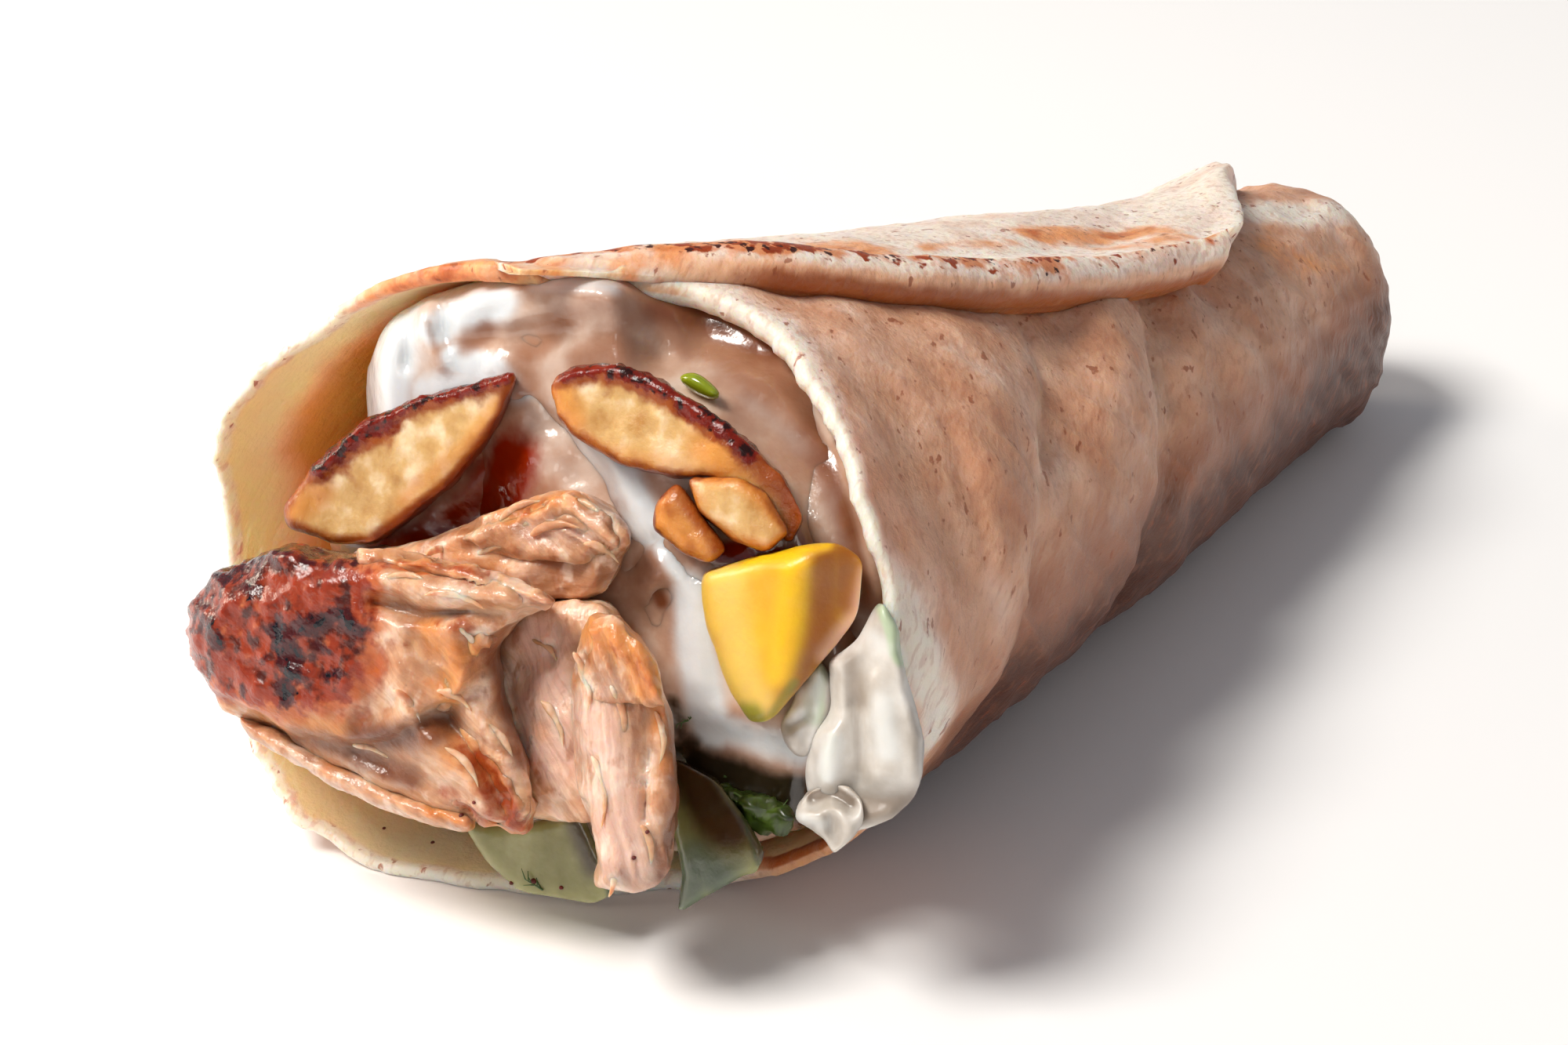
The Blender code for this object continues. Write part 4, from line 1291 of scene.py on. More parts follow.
STRIP = Piece(
    "chicken_strip", CHICKEN, Slot.CHICKEN,
    ((-23, 3), (-22, 5.6), (-17, 5.6), (-12, 6.6), (-7.5, 9.2), (-1.5, 11.2), (4.5, 12.5), (8.6, 10.4), (11.4, 7),
     (10.4, 3.4), (7.5, -0.4), (2, -0.5), (-5.5, 2)),
    proud=2, front=4.2, back=6, edge=2.6, side=0.35, voxel=0.34, smoothing=1, lumpy=0.35, seed=51,
    fibres=Fibres(14, 9, 1.8, 0.35, 1.4), ragged=0.9,
    reliefs=(Stroke(((-8, 6.8), (0, 9.2), (6, 9.6)), 0.7, 1.6), Stroke(((-3, 4.6), (5, 5.5)), -0.8, 0.8),
             Stroke(((2, 7.6), (8, 6.2)), -0.7, 0.6), Stroke(((-16, 4.6), (-6, 5.6)), -0.6, 0.7)),
    marks={"golden": (Stroke(((-4, 9.4), (2, 11), (5, 11.8)), 0.9, 1.4), Stroke(((-10, 5), (-4, 3.6)), 0.7, 1.2)),
           "orange": (Stroke(((-3, 9.8), (1.5, 11)), 0.6, 0.8), Stroke(((10, 5), (10.6, 7)), 0.55, 0.6)),
           "pink": (Stroke(((-2, 6), (6, 7)), 0.6, 2.6), dot(-20, 4.6, 0.9, 2.0))},
)
SLICE = Piece(
    "chicken_slice", CHICKEN, Slot.CHICKEN,
    ((-36, -13.5), (-30, -16), (-22, -19.6), (-14, -22.8), (-7, -24.5), (-7, -26.8), (-14, -25.6), (-22, -22.6),
     (-30, -19), (-35, -16)),
    proud=12.5, front=3, back=5, edge=1.2, side=0.5, voxel=0.35, smoothing=1, lumpy=0.25, lump_size=3, seed=61, fibres=Fibres(-32, 8, 1.2, 0.2),
    reliefs=(Stroke(((-33, -16.4), (-24, -20.8), (-12, -25)), 0.5, 0.7),),
    marks={"golden": (Stroke(((-30, -17), (-12, -24.2)), 0.4, 0.6), Stroke(((-12, -24), (-7.5, -25.6)), 0.8, 1.2))},
)
STRAND = Piece(
    "chicken_strand", CHICKEN, Slot.CHICKEN,
    ((-20, 5.6), (-13, 5), (-6, 3.8), (-1, 2), (3.6, 0), (2, -1.4), (-4, -0.2), (-11, 0.6), (-17.5, 1.6), (-21, 3)),
    proud=15, front=3, back=6, edge=2.2, side=0.3, rounding=1, voxel=0.3, smoothing=1, lumpy=0.3, lump_size=3, seed=221,
    fibres=Fibres(-12, 9, 1.2, 0.5, 1.2), ragged=0.5,
    reliefs=(Stroke(((-18, 2.6), (-8, 1.8), (1, -0.4)), -1.2, 0.5), Stroke(((-14, 4.2), (-5, 2.6)), 0.6, 0.8)),
    marks={"orange": (Stroke(((-15, 4.4), (-9, 3.6), (-5, 2.8)), 0.75, 0.7), dot(-4.5, 3, 0.8, 0.6), Stroke(((-20, 4), (-17, 4)), 0.7, 1.2)),
           "golden": (Stroke(((-18, 4.6), (-6, 3.2)), 0.7, 1.2),), "pink": (Stroke(((-6, 1), (2, -0.6)), 0.6, 1.2),)},
)
SHEET = Piece(
    "chicken_sheet", CHICKEN, Slot.CHICKEN,
    ((-20, -1.5), (-13, -2.2), (-5.5, -2.4), (-3.4, -4.8), (-5.6, -6), (-6, -9.4), (-8.6, -10.8), (-9.6, -13),
     (-12.2, -12.4), (-15.5, -13), (-20, -13)),
    proud=15, front=3.2, back=5, edge=1.8, side=0.35, rounding=0.8, voxel=0.3, smoothing=1, lumpy=0.35, lump_size=3.5,
    seed=231, fibres=Fibres(-58, 8, 1.4, 0.4, 0.8), ragged=0.7,
    facets=(Facet((-9, -7), 3.2, 180, 0.12),),
    reliefs=(Stroke(((-12, -4), (-11, -10)), -0.8, 0.9), Stroke(((-15.5, -3.5), (-15, -11)), 0.6, 1.2),
             Stroke(((-8.6, -3.5), (-7.8, -9)), 0.7, 0.9)),
    marks={"golden": (Stroke(((-9, -3.6), (-6.5, -6), (-7.6, -9.6)), 1.0, 2.6), Stroke(((-14, -4), (-17, -6)), 0.6, 1.4)),
           "orange": (Stroke(((-6, -3.6), (-9, -4)), 0.7, 1.0), dot(-10.8, -2.8, 0.8, 0.7), dot(-14.4, -5.6, 0.75, 0.6),
                      Stroke(((-18.5, -6), (-18, -11), (-14, -13)), 0.6, 1.2)),
           "pink": (Stroke(((-13, -6), (-12, -11)), 0.5, 2.0),)},
)
TAIL_FLAP = Piece(
    "chicken_fold", CHICKEN, Slot.CHICKEN,
    ((-13, -14.5), (-9.5, -13), (-5, -15), (-2, -19), (0.6, -24), (-1.5, -26.4), (-6, -26), (-9, -24), (-10, -20)),
    proud=13, front=3.4, back=6, edge=2.5, side=0.3, rounding=1, voxel=0.32, smoothing=1, lumpy=0.5, lump_size=3,
    seed=241, fibres=Fibres(-62, 8, 1.5, 0.45, 0.8), ragged=0.7,
    reliefs=(Stroke(((-9, -15), (-5, -20), (-4, -25)), -1.4, 0.9), Stroke(((-6, -15.5), (-2.5, -21)), 0.8, 1.0)),
    marks={"golden": (Stroke(((-10, -15), (-5, -20), (-3, -25)), 1.0, 3.2),),
           "orange": (Stroke(((-6, -18), (-3.6, -22), (-2, -25)), 0.95, 2.2), Stroke(((-9, -22), (-6, -25.4)), 0.7, 1.2)),
           "shade": (Stroke(((-4, -15), (-0.6, -20)), 0.6, 0.9),)},
)
CURL = Piece(
    "chicken_curl", CHICKEN, Slot.CHICKEN,
    ((6.8, -2.6), (9.4, -1.4), (12, -3.2), (14.6, -7.2), (15.6, -12), (12.4, -11.4), (8, -11.6), (5.4, -8)),
    proud=15, front=2.6, back=5, edge=2.4, side=0.3, rounding=1, voxel=0.3, smoothing=1, lumpy=0.3, lump_size=3, seed=251,
    fibres=Fibres(-66, 9, 1.2, 0.4, 0.7), ragged=0.6,
    reliefs=(Stroke(((8, -4.4), (11, -8), (12, -11)), -0.7, 0.7),),
    marks={"golden": (Stroke(((7.6, -3.6), (11.5, -5), (13, -9)), 1.0, 2.6),),
           "orange": (Stroke(((9, -5), (12, -6.6), (13.6, -9)), 0.6, 1.2),), "pink": (dot(8, -10.4, 0.6, 1.6),)},
)
STRIP_TOP = Piece(
    "chicken_strip_top", CHICKEN, Slot.CHICKEN,
    ((-9, 6.6), (-4, 9.2), (1, 11), (5, 12), (8.8, 9.6), (10.6, 6.4), (8, 4.4), (2, 4.2), (-4, 4.8)),
    proud=5, front=2.4, back=4, edge=1.8, side=0.3, rounding=0.8, voxel=0.3, smoothing=1, lumpy=0.3, lump_size=3, seed=261,
    fibres=Fibres(-38, 8, 1.2, 0.4, 0.7), ragged=0.8,
    reliefs=(Stroke(((3, 10), (8, 6)), -0.8, 0.6), Stroke(((-1, 8.4), (5, 5)), -0.6, 0.6)),
    marks={"golden": (Stroke(((-3, 9), (2, 10.8), (5, 11.4)), 0.8, 1.2),), "orange": (Stroke(((-2, 9.6), (2, 10.9)), 0.6, 0.6), Stroke(((9.6, 6), (10.2, 7)), 0.6, 0.6)),
           "pink": (Stroke(((0, 7), (6, 8)), 0.7, 2.4),)},
)
WEDGE_FAR = Piece(
    "potato_wedge_far", POTATO, Slot.POTATO,
    ((-2, 25.5), (-7.5, 24.5), (-13.5, 23), (-21, 20.5), (-26.5, 15.5), (-31, 10.5), (-30.5, 8), (-24.5, 6),
     (-20, 6), (-15.5, 9), (-9.5, 13.5), (-4, 20.5)),
    blistered=("crust",), proud=1, front=3.4, back=8, edge=1.8, side=0.72, rounding=0.8, smoothing=1, lumpy=0.22, lump_size=4, seed=71,
    facets=(Facet((-18, 20), 3.4, 105, 0.25),),
    reliefs=(Stroke(((-2.5, 25), (-13.5, 22.6), (-20.5, 20), (-26, 15)), 0.7, 0.9),
             Stroke(((-24, 11), (-14, 17.5), (-6, 22)), -0.35, 2.5)),
    marks={
        "crust": (Stroke(((-27, 16), (-20, 20.6), (-13.5, 23.2), (-8, 24.5), (-3.5, 25.4)), 1.15, 1.9),
                  Stroke(((-26, 15.4), (-22, 18.6), (-18, 20.6)), 1.1, 2.2)),
        "skin": (Stroke(((-30.5, 8.6), (-24.5, 6.4), (-20, 6.4), (-14, 10.4), (-9, 14.4), (-4.4, 20), (-2.4, 25)), 0.9, 1.0),
                 Stroke(((-31, 10), (-26.5, 15.2)), 0.9, 1.4)),
        "golden": (Stroke(((-30, 9), (-26, 12)), 0.9, 2.6), Stroke(((-4, 22.5), (-8, 17.5), (-16, 11)), 0.7, 1.6)),
    },
)
WEDGE_NEAR = Piece(
    "potato_wedge_near", POTATO, Slot.POTATO,
    ((2, 24), (4, 26), (8.5, 26.5), (13.5, 25), (19, 21.5), (24, 17.5), (28, 14), (30.5, 9), (29, 6), (25.5, 9),
     (21, 13.5), (16.5, 13.5), (10, 15), (4.5, 18.5), (2.5, 20.5)),
    blistered=("crust",), proud=1, front=3.6, back=7, edge=1.8, side=0.7, rounding=0.8, smoothing=1, lumpy=0.25, lump_size=4, seed=81,
    facets=(Facet((15, 19), 3.2, 60, 0.28), Facet((24, 13), 2.6, 10, 0.45)),
    reliefs=(Stroke(((3, 25), (8, 26), (13.5, 24.4), (19, 21)), 0.6, 0.9), Stroke(((9, 22), (18, 18)), -0.3, 2.5)),
    marks={
        "crust": (Stroke(((3.5, 25.8), (8, 26.2), (13, 24.8), (15.5, 23.4)), 1.15, 1.9), dot(9, 25.6, 1.0, 2.0),
                  Stroke(((17, 22), (22.5, 18.2), (24.5, 16.4)), 1.1, 1.7)),
        "skin": (Stroke(((24.5, 16.5), (28, 13), (29.8, 9), (29.3, 6.5)), 1.0, 2.4),
                 Stroke(((3, 20.3), (5, 18.4), (10, 15.4), (16.5, 13.8)), 0.75, 0.8),
                 Stroke(((2.4, 23.8), (8, 25), (14, 23.2), (20, 19)), 0.6, 0.8)),
        "golden": (Stroke(((3.4, 23.4), (4.8, 19.8)), 0.9, 2.2), Stroke(((20, 16.6), (26, 13)), 1.0, 3.6),
                   Stroke(((8, 17), (18, 14.6)), 0.6, 1.4)),
    },
)
CHUNK = Piece(
    "potato_chunk", POTATO, Slot.POTATO,
    ((17.5, 13.5), (23.5, 13.5), (26.5, 12), (29, 7.5), (26.5, 5.5), (22.5, 6.5), (19, 9.5)),
    proud=3, front=4, back=4, edge=1.6, side=0.6, rounding=0.8, smoothing=1, lumpy=0.2, seed=91,
    facets=(Facet((22.5, 10.5), 3.6, 200, 0.1), Facet((25.4, 11), 3.2, 25, 0.55)),
    marks={"golden": (Stroke(((24, 13), (28, 9)), 0.9, 1.8), Stroke(((20.5, 12.6), (24, 13.3)), 0.6, 0.8)),
           "skin": (Stroke(((25, 12.8), (28.6, 7.8)), 0.7, 0.8), Stroke(((19, 9.8), (22.5, 6.8)), 0.5, 0.7)),
           "crust": (Stroke(((22.5, 6.0), (26.8, 5.2)), 0.7, 0.7),)},
)
BIT = Piece(
    "potato_bit", POTATO, Slot.POTATO,
    ((14, 11), (16.5, 13), (18.5, 10.5), (22, 5.5), (20, 4), (17, 5), (13.5, 8)),
    proud=3, front=4, back=4, edge=1.6, side=0.5, rounding=0.8, smoothing=1, lumpy=0.2, seed=101,
    facets=(Facet((17, 8.5), 3.4, 30, 0.45),),
    marks={"golden": (Stroke(((14.5, 10.5), (19.5, 5)), 1.0, 3.5),), "skin": (Stroke(((16, 12.4), (21.6, 5.6)), 0.85, 1.6),
                                                                             Stroke(((15, 11), (18, 6)), 0.55, 1.4))},
)
PEPPER_CHUNK = Piece(
    "yellow_pepper", PEPPER, Slot.PEPPER,
    ((19, 3), (23.5, 4.5), (30, 6), (34, 6.5), (37, 4.5), (36.5, -1.5), (30.5, -9), (27, -13.5), (24.5, -14),
     (22, -9.5), (19.5, -2.5)),
    proud=3, front=8, back=8, edge=2.2, side=0.5, rounding=1.2, smoothing=6, lumpy=0.25, lump_size=7, seed=111,
    facets=(Facet((28.6, 0), 5.4, 185, 0.26), Facet((28.6, 0), 5.4, -8, 0.75), Facet((28, 4.4), 5.0, 92, 0.9)),
    marks={
        # Painted light on the left face and along the fold, and painted shade in brown on the right side.
        "light": (Stroke(((21.5, 2.5), (22.5, -4), (25, -12)), 1.0, 3.0),),
        "vivid": (Stroke(((29.4, 4), (28.8, -3), (27.8, -8)), 0.9, 2.4), Stroke(((24, 4.2), (33, 6)), 0.7, 1.0)),
        "brown": (Stroke(((33, 4.5), (32.6, -2), (29.6, -8.5)), 1.0, 3.0), Stroke(((35, 5), (35, 0)), 1.0, 3.0)),
        "pink": (Stroke(((37.4, 3), (36.8, -1.5), (33, -6)), 0.9, 1.6),),
        "green": (dot(24.5, -13.2, 1.0, 2.6), Stroke(((29.4, -9), (27, -12.6)), 0.75, 1.0), Stroke(((21, -6), (23.4, -11)), 0.45, 0.8)),
    },
)
LEAF = Piece(
    "cabbage_leaf", CABBAGE, Slot.CABBAGE,
    ((38.9, 0.3), (40.8, -3), (41.2, -6.7), (42.4, -11.5), (43.5, -15.9), (43.2, -19), (42.5, -21.6), (39.4, -24.3),
     (36, -25.6), (32.5, -24.5), (31, -21.8), (30.8, -19.3), (31.4, -15.2), (33.4, -12.1), (33.2, -8.4), (33.1, -6.5),
     (36, -4.6), (37.5, -1.6)),
    proud=2, front=3.2, back=3, edge=1.6, side=0.3, voxel=0.32, smoothing=2, lumpy=0.25, lump_size=7, seed=121,
    rounding=1.2, ragged=0.3,
    reliefs=(
        Stroke(((39.4, -1), (40.8, -7), (42.2, -13), (42.6, -19)), 0.7, 1.0), Stroke(((36.4, -5), (36, -10)), -1.0, 1.6),
        Stroke(((38.6, -9), (39.4, -14), (39.6, -18)), 1.3, 2.4), Stroke(((36, -11.5), (36.8, -15), (36.6, -19.5)), -1.0, 0.9),
        Stroke(((33.2, -14.5), (33, -19.5)), 1.5, 1.5), Stroke(((36.4, -21.4), (42, -21.6)), -1.4, 1.6),
    ),
    marks={"green": (Stroke(((39, 0), (41, -6)), 1.0, 1.4), Stroke(((33.6, -15), (32.6, -19.5)), 0.55, 1.4)),
           # Painted light on the leaf's lit panels.
           "bright": (Stroke(((38.8, -11), (39.6, -16)), 0.9, 1.8), Stroke(((33.6, -15.5), (33, -19)), 1.0, 1.6),
                      Stroke(((37, -3.4), (39.6, -5)), 0.6, 1.2)),
           "shade": (Stroke(((35.4, -6.6), (36.2, -11)), 0.75, 1.6), Stroke(((36.4, -23), (42, -22)), 1.0, 2.2),
                     Stroke(((36, -12), (36.6, -18.5)), 0.6, 0.8), Stroke(((42, -12), (43, -19)), 0.45, 1.2))},
)
LEAF_CURL = Piece(
    "cabbage_curl", CABBAGE, Slot.CABBAGE,
    ((31, -21.2), (33, -20), (35.2, -20.2), (36.8, -22), (37, -24), (36.1, -25.8), (33.7, -28.2), (32.6, -26.4),
     (29.6, -24.4), (29.6, -23)),
    proud=4.6, front=2.6, back=3, edge=1.3, side=0.3, voxel=0.28, smoothing=1, lumpy=0.2, lump_size=4, seed=271,
    rounding=0.7, ragged=0.25,
    reliefs=(Stroke(((31.6, -21.7), (33.6, -21), (35.6, -22.2)), -3.4, 0.8), Stroke(((30, -23.6), (33, -23.6)), 0.9, 1.0),
             Stroke(((34.4, -22.8), (35.4, -25.4)), 0.7, 0.8), Stroke(((33.2, -23.6), (33.6, -26.6)), -1.0, 0.7)),
    marks={"shade": (Stroke(((31.4, -21.6), (33.6, -20.9), (35.6, -22)), 1.15, 0.8), Stroke(((33.6, -24), (34, -26.4)), 0.5, 1.0)),
           # Painted light on the curl's lit lip.
           "bright": (Stroke(((30.2, -23.8), (32.6, -24.6)), 0.8, 1.0),)},
)
LEAFY = Piece(
    "lettuce_green", GREENS, Slot.LETTUCE,
    ((20.6, -21.4), (23.6, -21.8), (27, -22), (30.4, -24), (29.6, -26), (26.4, -26.4), (23.2, -26)),
    proud=-3, front=3, back=2, edge=1.4, side=0.3, voxel=0.35, smoothing=1, lumpy=0.9, lump_size=2.4, seed=281,
    reliefs=(Stroke(((22, -23), (29, -24.4)), 1.0, 0.8), Stroke(((24, -25), (28, -25.4)), -1.0, 0.7)),
)
FAR_CUCUMBER = Piece(
    "cucumber_far", CUCUMBER, Slot.CUCUMBER,
    ((-9.5, -26.5), (-2, -26.5), (5, -24.5), (7, -29), (9, -34), (6.5, -35.5), (-2.5, -34.5), (-6.5, -31)),
    proud=1, front=2.4, back=5, edge=1.2, side=0.6, rounding=0.8, lumpy=0.12, seed=131,
    facets=(Facet((0, -29), 2.4, -80, 0.12),),
    marks={"skin": (Stroke(((-7, -31.6), (-3, -34.6)), 0.6, 0.7), Stroke(((6, -25), (8, -31), (8.6, -34.4)), 0.9, 1.0)),
           "shade": (Stroke(((4, -25), (6.4, -31)), 0.8, 1.8), Stroke(((-8, -26.4), (2, -25.6)), 0.5, 1.2))},
)
NEAR_CUCUMBER = Piece(
    "cucumber_near", CUCUMBER, Slot.CUCUMBER,
    ((15.5, -18.4), (20.6, -20.6), (23.4, -24.2), (26.2, -28.6), (25.2, -31), (23.7, -31.4), (20.2, -33.6),
     (16.1, -36.2), (16.7, -31.6), (15.5, -25.5)),
    proud=-1, front=2.4, back=5, edge=1.0, side=0.6, rounding=0.6, smoothing=1, lumpy=0.12, seed=141,
    facets=(Facet((19, -27), 2.2, 100, 0.2),),
    marks={"cool": (Stroke(((17, -35), (18, -30), (21, -32)), 1.0, 3.4),),
           "shade": (Stroke(((17, -19), (20, -24), (22, -26)), 1.1, 3.4), Stroke(((24, -26), (26, -29)), 0.8, 1.4)),
           "skin": (Stroke(((23.6, -24.5), (25.4, -30)), 0.7, 0.6),)},
)
LETTUCE = Piece(
    "lettuce_bit", CABBAGE, Slot.LETTUCE,
    ((32, -6.2), (34, -9.5), (33.8, -12.2), (32, -15.2), (30.9, -17.9), (29, -17), (27.7, -14.2), (29.2, -11.9),
     (30.3, -8.9)),
    proud=0.5, front=2.4, back=3, edge=1.2, side=0.3, voxel=0.32, smoothing=1, lumpy=0.25, lump_size=4, seed=151,
    reliefs=(Stroke(((32, -8), (31.6, -12)), 0.6, 1.2), Stroke(((30.6, -13), (29, -14)), -1.2, 0.8),
             Stroke(((30.6, -15), (30.4, -17)), -0.8, 0.7)),
    # Painted light on the bit's lit middle.
    marks={"green": (Stroke(((32, -7), (31.6, -12.6)), 0.8, 1.8),), "bright": (Stroke(((31.8, -8.6), (31, -13)), 0.9, 1.4),),
           "shade": (Stroke(((33.6, -10), (33, -14)), 0.7, 0.8), Stroke(((29.4, -15), (30.6, -17)), 0.5, 1.4))},
)
PICKLE_BIT = Piece(
    "pickle", PICKLE, Slot.PICKLE, ((16, 25), (18.5, 25.5), (21.5, 23), (20.5, 22), (18, 23)),
    proud=-3, front=2, back=2, edge=1.4, side=0.2, voxel=0.3, lumpy=0.1, seed=161,
)
SAUCE_FLOW = Piece(
    "sauce_flow", SAUCE, Slot.SAUCE,
    ((-22, 20), (-22.8, 26), (-20.5, 32), (-15, 36.5), (-7, 39), (3, 39.5), (13, 38), (22, 34.5), (30, 29),
     (36, 22), (40.5, 13), (42.5, 4), (43, -4), (42, -10), (38, -14), (34, -19), (32, -27), (24, -28), (17, -25),
     (10, -16), (4, -6), (-6, 0), (-20, 1), (-28, 4), (-28, 12), (-24, 17)),
    proud=-18, front=18, back=3, edge=5.5, side=0.1, rounding=3, voxel=0.5, smoothing=3, lumpy=0.25, lump_size=8,
    seed=171, walled=(3.2, 5),
    reliefs=(
        Raised(((9, 44), (50, 40), (50, -14), (39, -14), (35, 2), (30, 13), (22, 22), (13, 26)), -7.5, 7.0),
        Raised(((12, 46), (44, 46), (40, 20), (33, 19), (27, 25), (18, 28)), -4.5, 5.0),
        Raised(((-30, 0), (-30, 16), (-14, 14), (-3, 22), (3, 18), (8, 13), (6, 4), (-6, -2)), -4.0, 5.0),
        Raised(((15, -13), (26, -15), (34, -17), (34, -30), (12, -30)), -3.0, 4.0),
        Stroke(((-13.5, 35), (-13.6, 30), (-11.5, 27)), 1.4, 1.1), Stroke(((-4, 31.6), (1, 33)), 0.8, 0.9), Stroke(((-18, 33), (-18.6, 27), (-19, 22)), 1.0, 2.4),
        Stroke(((-11.5, 33), (-10.8, 30)), -1.3, 0.9), Stroke(((-15.6, 32), (-15.8, 27)), -1.3, 0.8),
        Stroke(((-7, 34), (1, 35.6), (9, 34.6)), 1.0, 1.8), Stroke(((-8, 29.5), (-5, 30)), -0.9, 1.4),
        Stroke(((-2, 30), (4, 30)), -1.0, 1.8), Stroke(((8, 30), (13, 28)), -0.8, 1.8),
        Stroke(((-5, 27), (-2.4, 23)), 0.9, 1.1), Stroke(((-4, 19), (0, 14), (5, 11)), 1.0, 2.0),
        Stroke(((20, 27), (28, 20), (33, 12)), 0.9, 2.5), Stroke(((31, 23), (36, 13)), -0.7, 1.5),
        Stroke(((5.6, 18), (9.5, 13.5), (12.5, 8)), 1.3, 1.7), Stroke(((18, 0), (18.4, -9)), 1.4, 2.2),
        dot(13.6, 2.2, 1.8, 2.2), dot(14.4, 0.2, -2.0, 0.8), Stroke(((14, 4.4), (17, 2)), 0.7, 1.0),
        Stroke(((9.4, 10), (11, 4)), -1.0, 1.3), Stroke(((20, -15), (29, -18)), 0.9, 2.6),
        Stroke(((-10, 8), (-4, 12), (-1, 18)), -1.0, 2.4), dot(-17, 8, 0.8, 1.8),
    ),
    marks={
        # Partly painted light: the sauce's white, brightest on its ridges.
        "white": (
            Stroke(((-18, 34), (-18.6, 27), (-19.5, 21)), 1.15, 4.2), Stroke(((-12.5, 31), (-9, 32.6), (-4, 33.6)), 0.9, 2.4),
            Stroke(((-10, 27.5), (-5, 26), (-2.6, 23.4)), 1.0, 1.9), Stroke(((-14, 24), (-8, 25)), 0.7, 2.2),
            Stroke(((0, 36), (9, 35)), 0.55, 1.6), Stroke(((18, 1), (18.4, -6), (20, -15)), 1.0, 2.6),
            Stroke(((5, 18.6), (9.5, 13.5), (13, 8)), 1.2, 2.2), Stroke(((22, -15), (30, -17)), 0.7, 2.4),
            Stroke(((14.5, 6), (17.5, 1)), 0.8, 1.4), Stroke(((20, 33.6), (31, 27), (36, 20)), 0.35, 1.4),
            Stroke(((36.5, 10), (38, 4)), 0.35, 2.0), Stroke(((21, 26), (30, 17)), 0.3, 2.0),
        ),
        # Painted shade in the dips and on the shaded right side.
        "tan": (
            Stroke(((-8.4, 28.8), (-6, 30.6)), 0.85, 1.6), Stroke(((-1, 28), (3, 31)), 0.8, 2.2),
            Stroke(((5, 27), (9, 29), (13, 27)), 0.8, 2.6), Stroke(((-13, 31.6), (-11.4, 27)), 0.6, 0.9),
            Stroke(((13, 33), (20, 30), (30, 22)), 0.95, 4.5), Stroke(((-4, 37), (8, 37.6)), 0.7, 1.2),
            Stroke(((-2, 22), (2, 15)), 0.7, 2.8), Stroke(((9, 10), (11, 2)), 0.6, 1.8),
            Stroke(((22, 20), (32, 12)), 0.5, 3.0), Stroke(((-2, 24), (2, 17)), 0.9, 3.5),
        ),
        # Painted shade, partly juice-brown sauce.
        "brown": (
            Stroke(((34, 19), (38, 9), (38, -4)), 0.95, 5.0), Stroke(((14, 33), (20, 32), (27, 28.5)), 0.95, 2.4),
            Stroke(((30, 6), (34, -2)), 0.7, 2.5), dot(14.4, 0.1, 1.0, 0.8), Stroke(((8, -1), (11, -6)), 0.6, 1.6),
            Stroke(((-6, 14), (2, 12), (6, 11)), 0.9, 3.6), Stroke(((-24, 4), (-14, 6)), 0.9, 2.5),
        ),
        # Meat juice with painted shade on it.
        "juice": (
            Stroke(((-20, 3), (-13, 6), (-8, 9.5), (-5.4, 13)), 1.0, 3.6), Stroke(((-10, 6), (0, 9.5)), 0.8, 1.8),
            Stroke(((21, 5.4), (30, 4.6)), 1.0, 1.5),
        ),
        # Painted shade in the deep recesses.
        "dark": (
            Stroke(((17, -19.4), (22, -21.2), (31, -23.2), (33, -27)), 1.15, 3.4), dot(17.5, -17, 0.9, 2.0),
            Stroke(((15.5, -12), (17, -18)), 0.7, 1.4),
            Stroke(((17, 32), (25, 30)), 0.5, 1.4),
        ),
    },
)
PIECES = (SAUCE_FLOW, CHARRED, STRAND, SHEET, TAIL_FLAP, CURL, STRIP_TOP, TORN, BACK, STRIP, SLICE, WEDGE_FAR,
          WEDGE_NEAR, CHUNK, BIT, PEPPER_CHUNK, LEAF, LEAF_CURL, LEAFY, FAR_CUCUMBER, NEAR_CUCUMBER, LETTUCE, PICKLE_BIT)


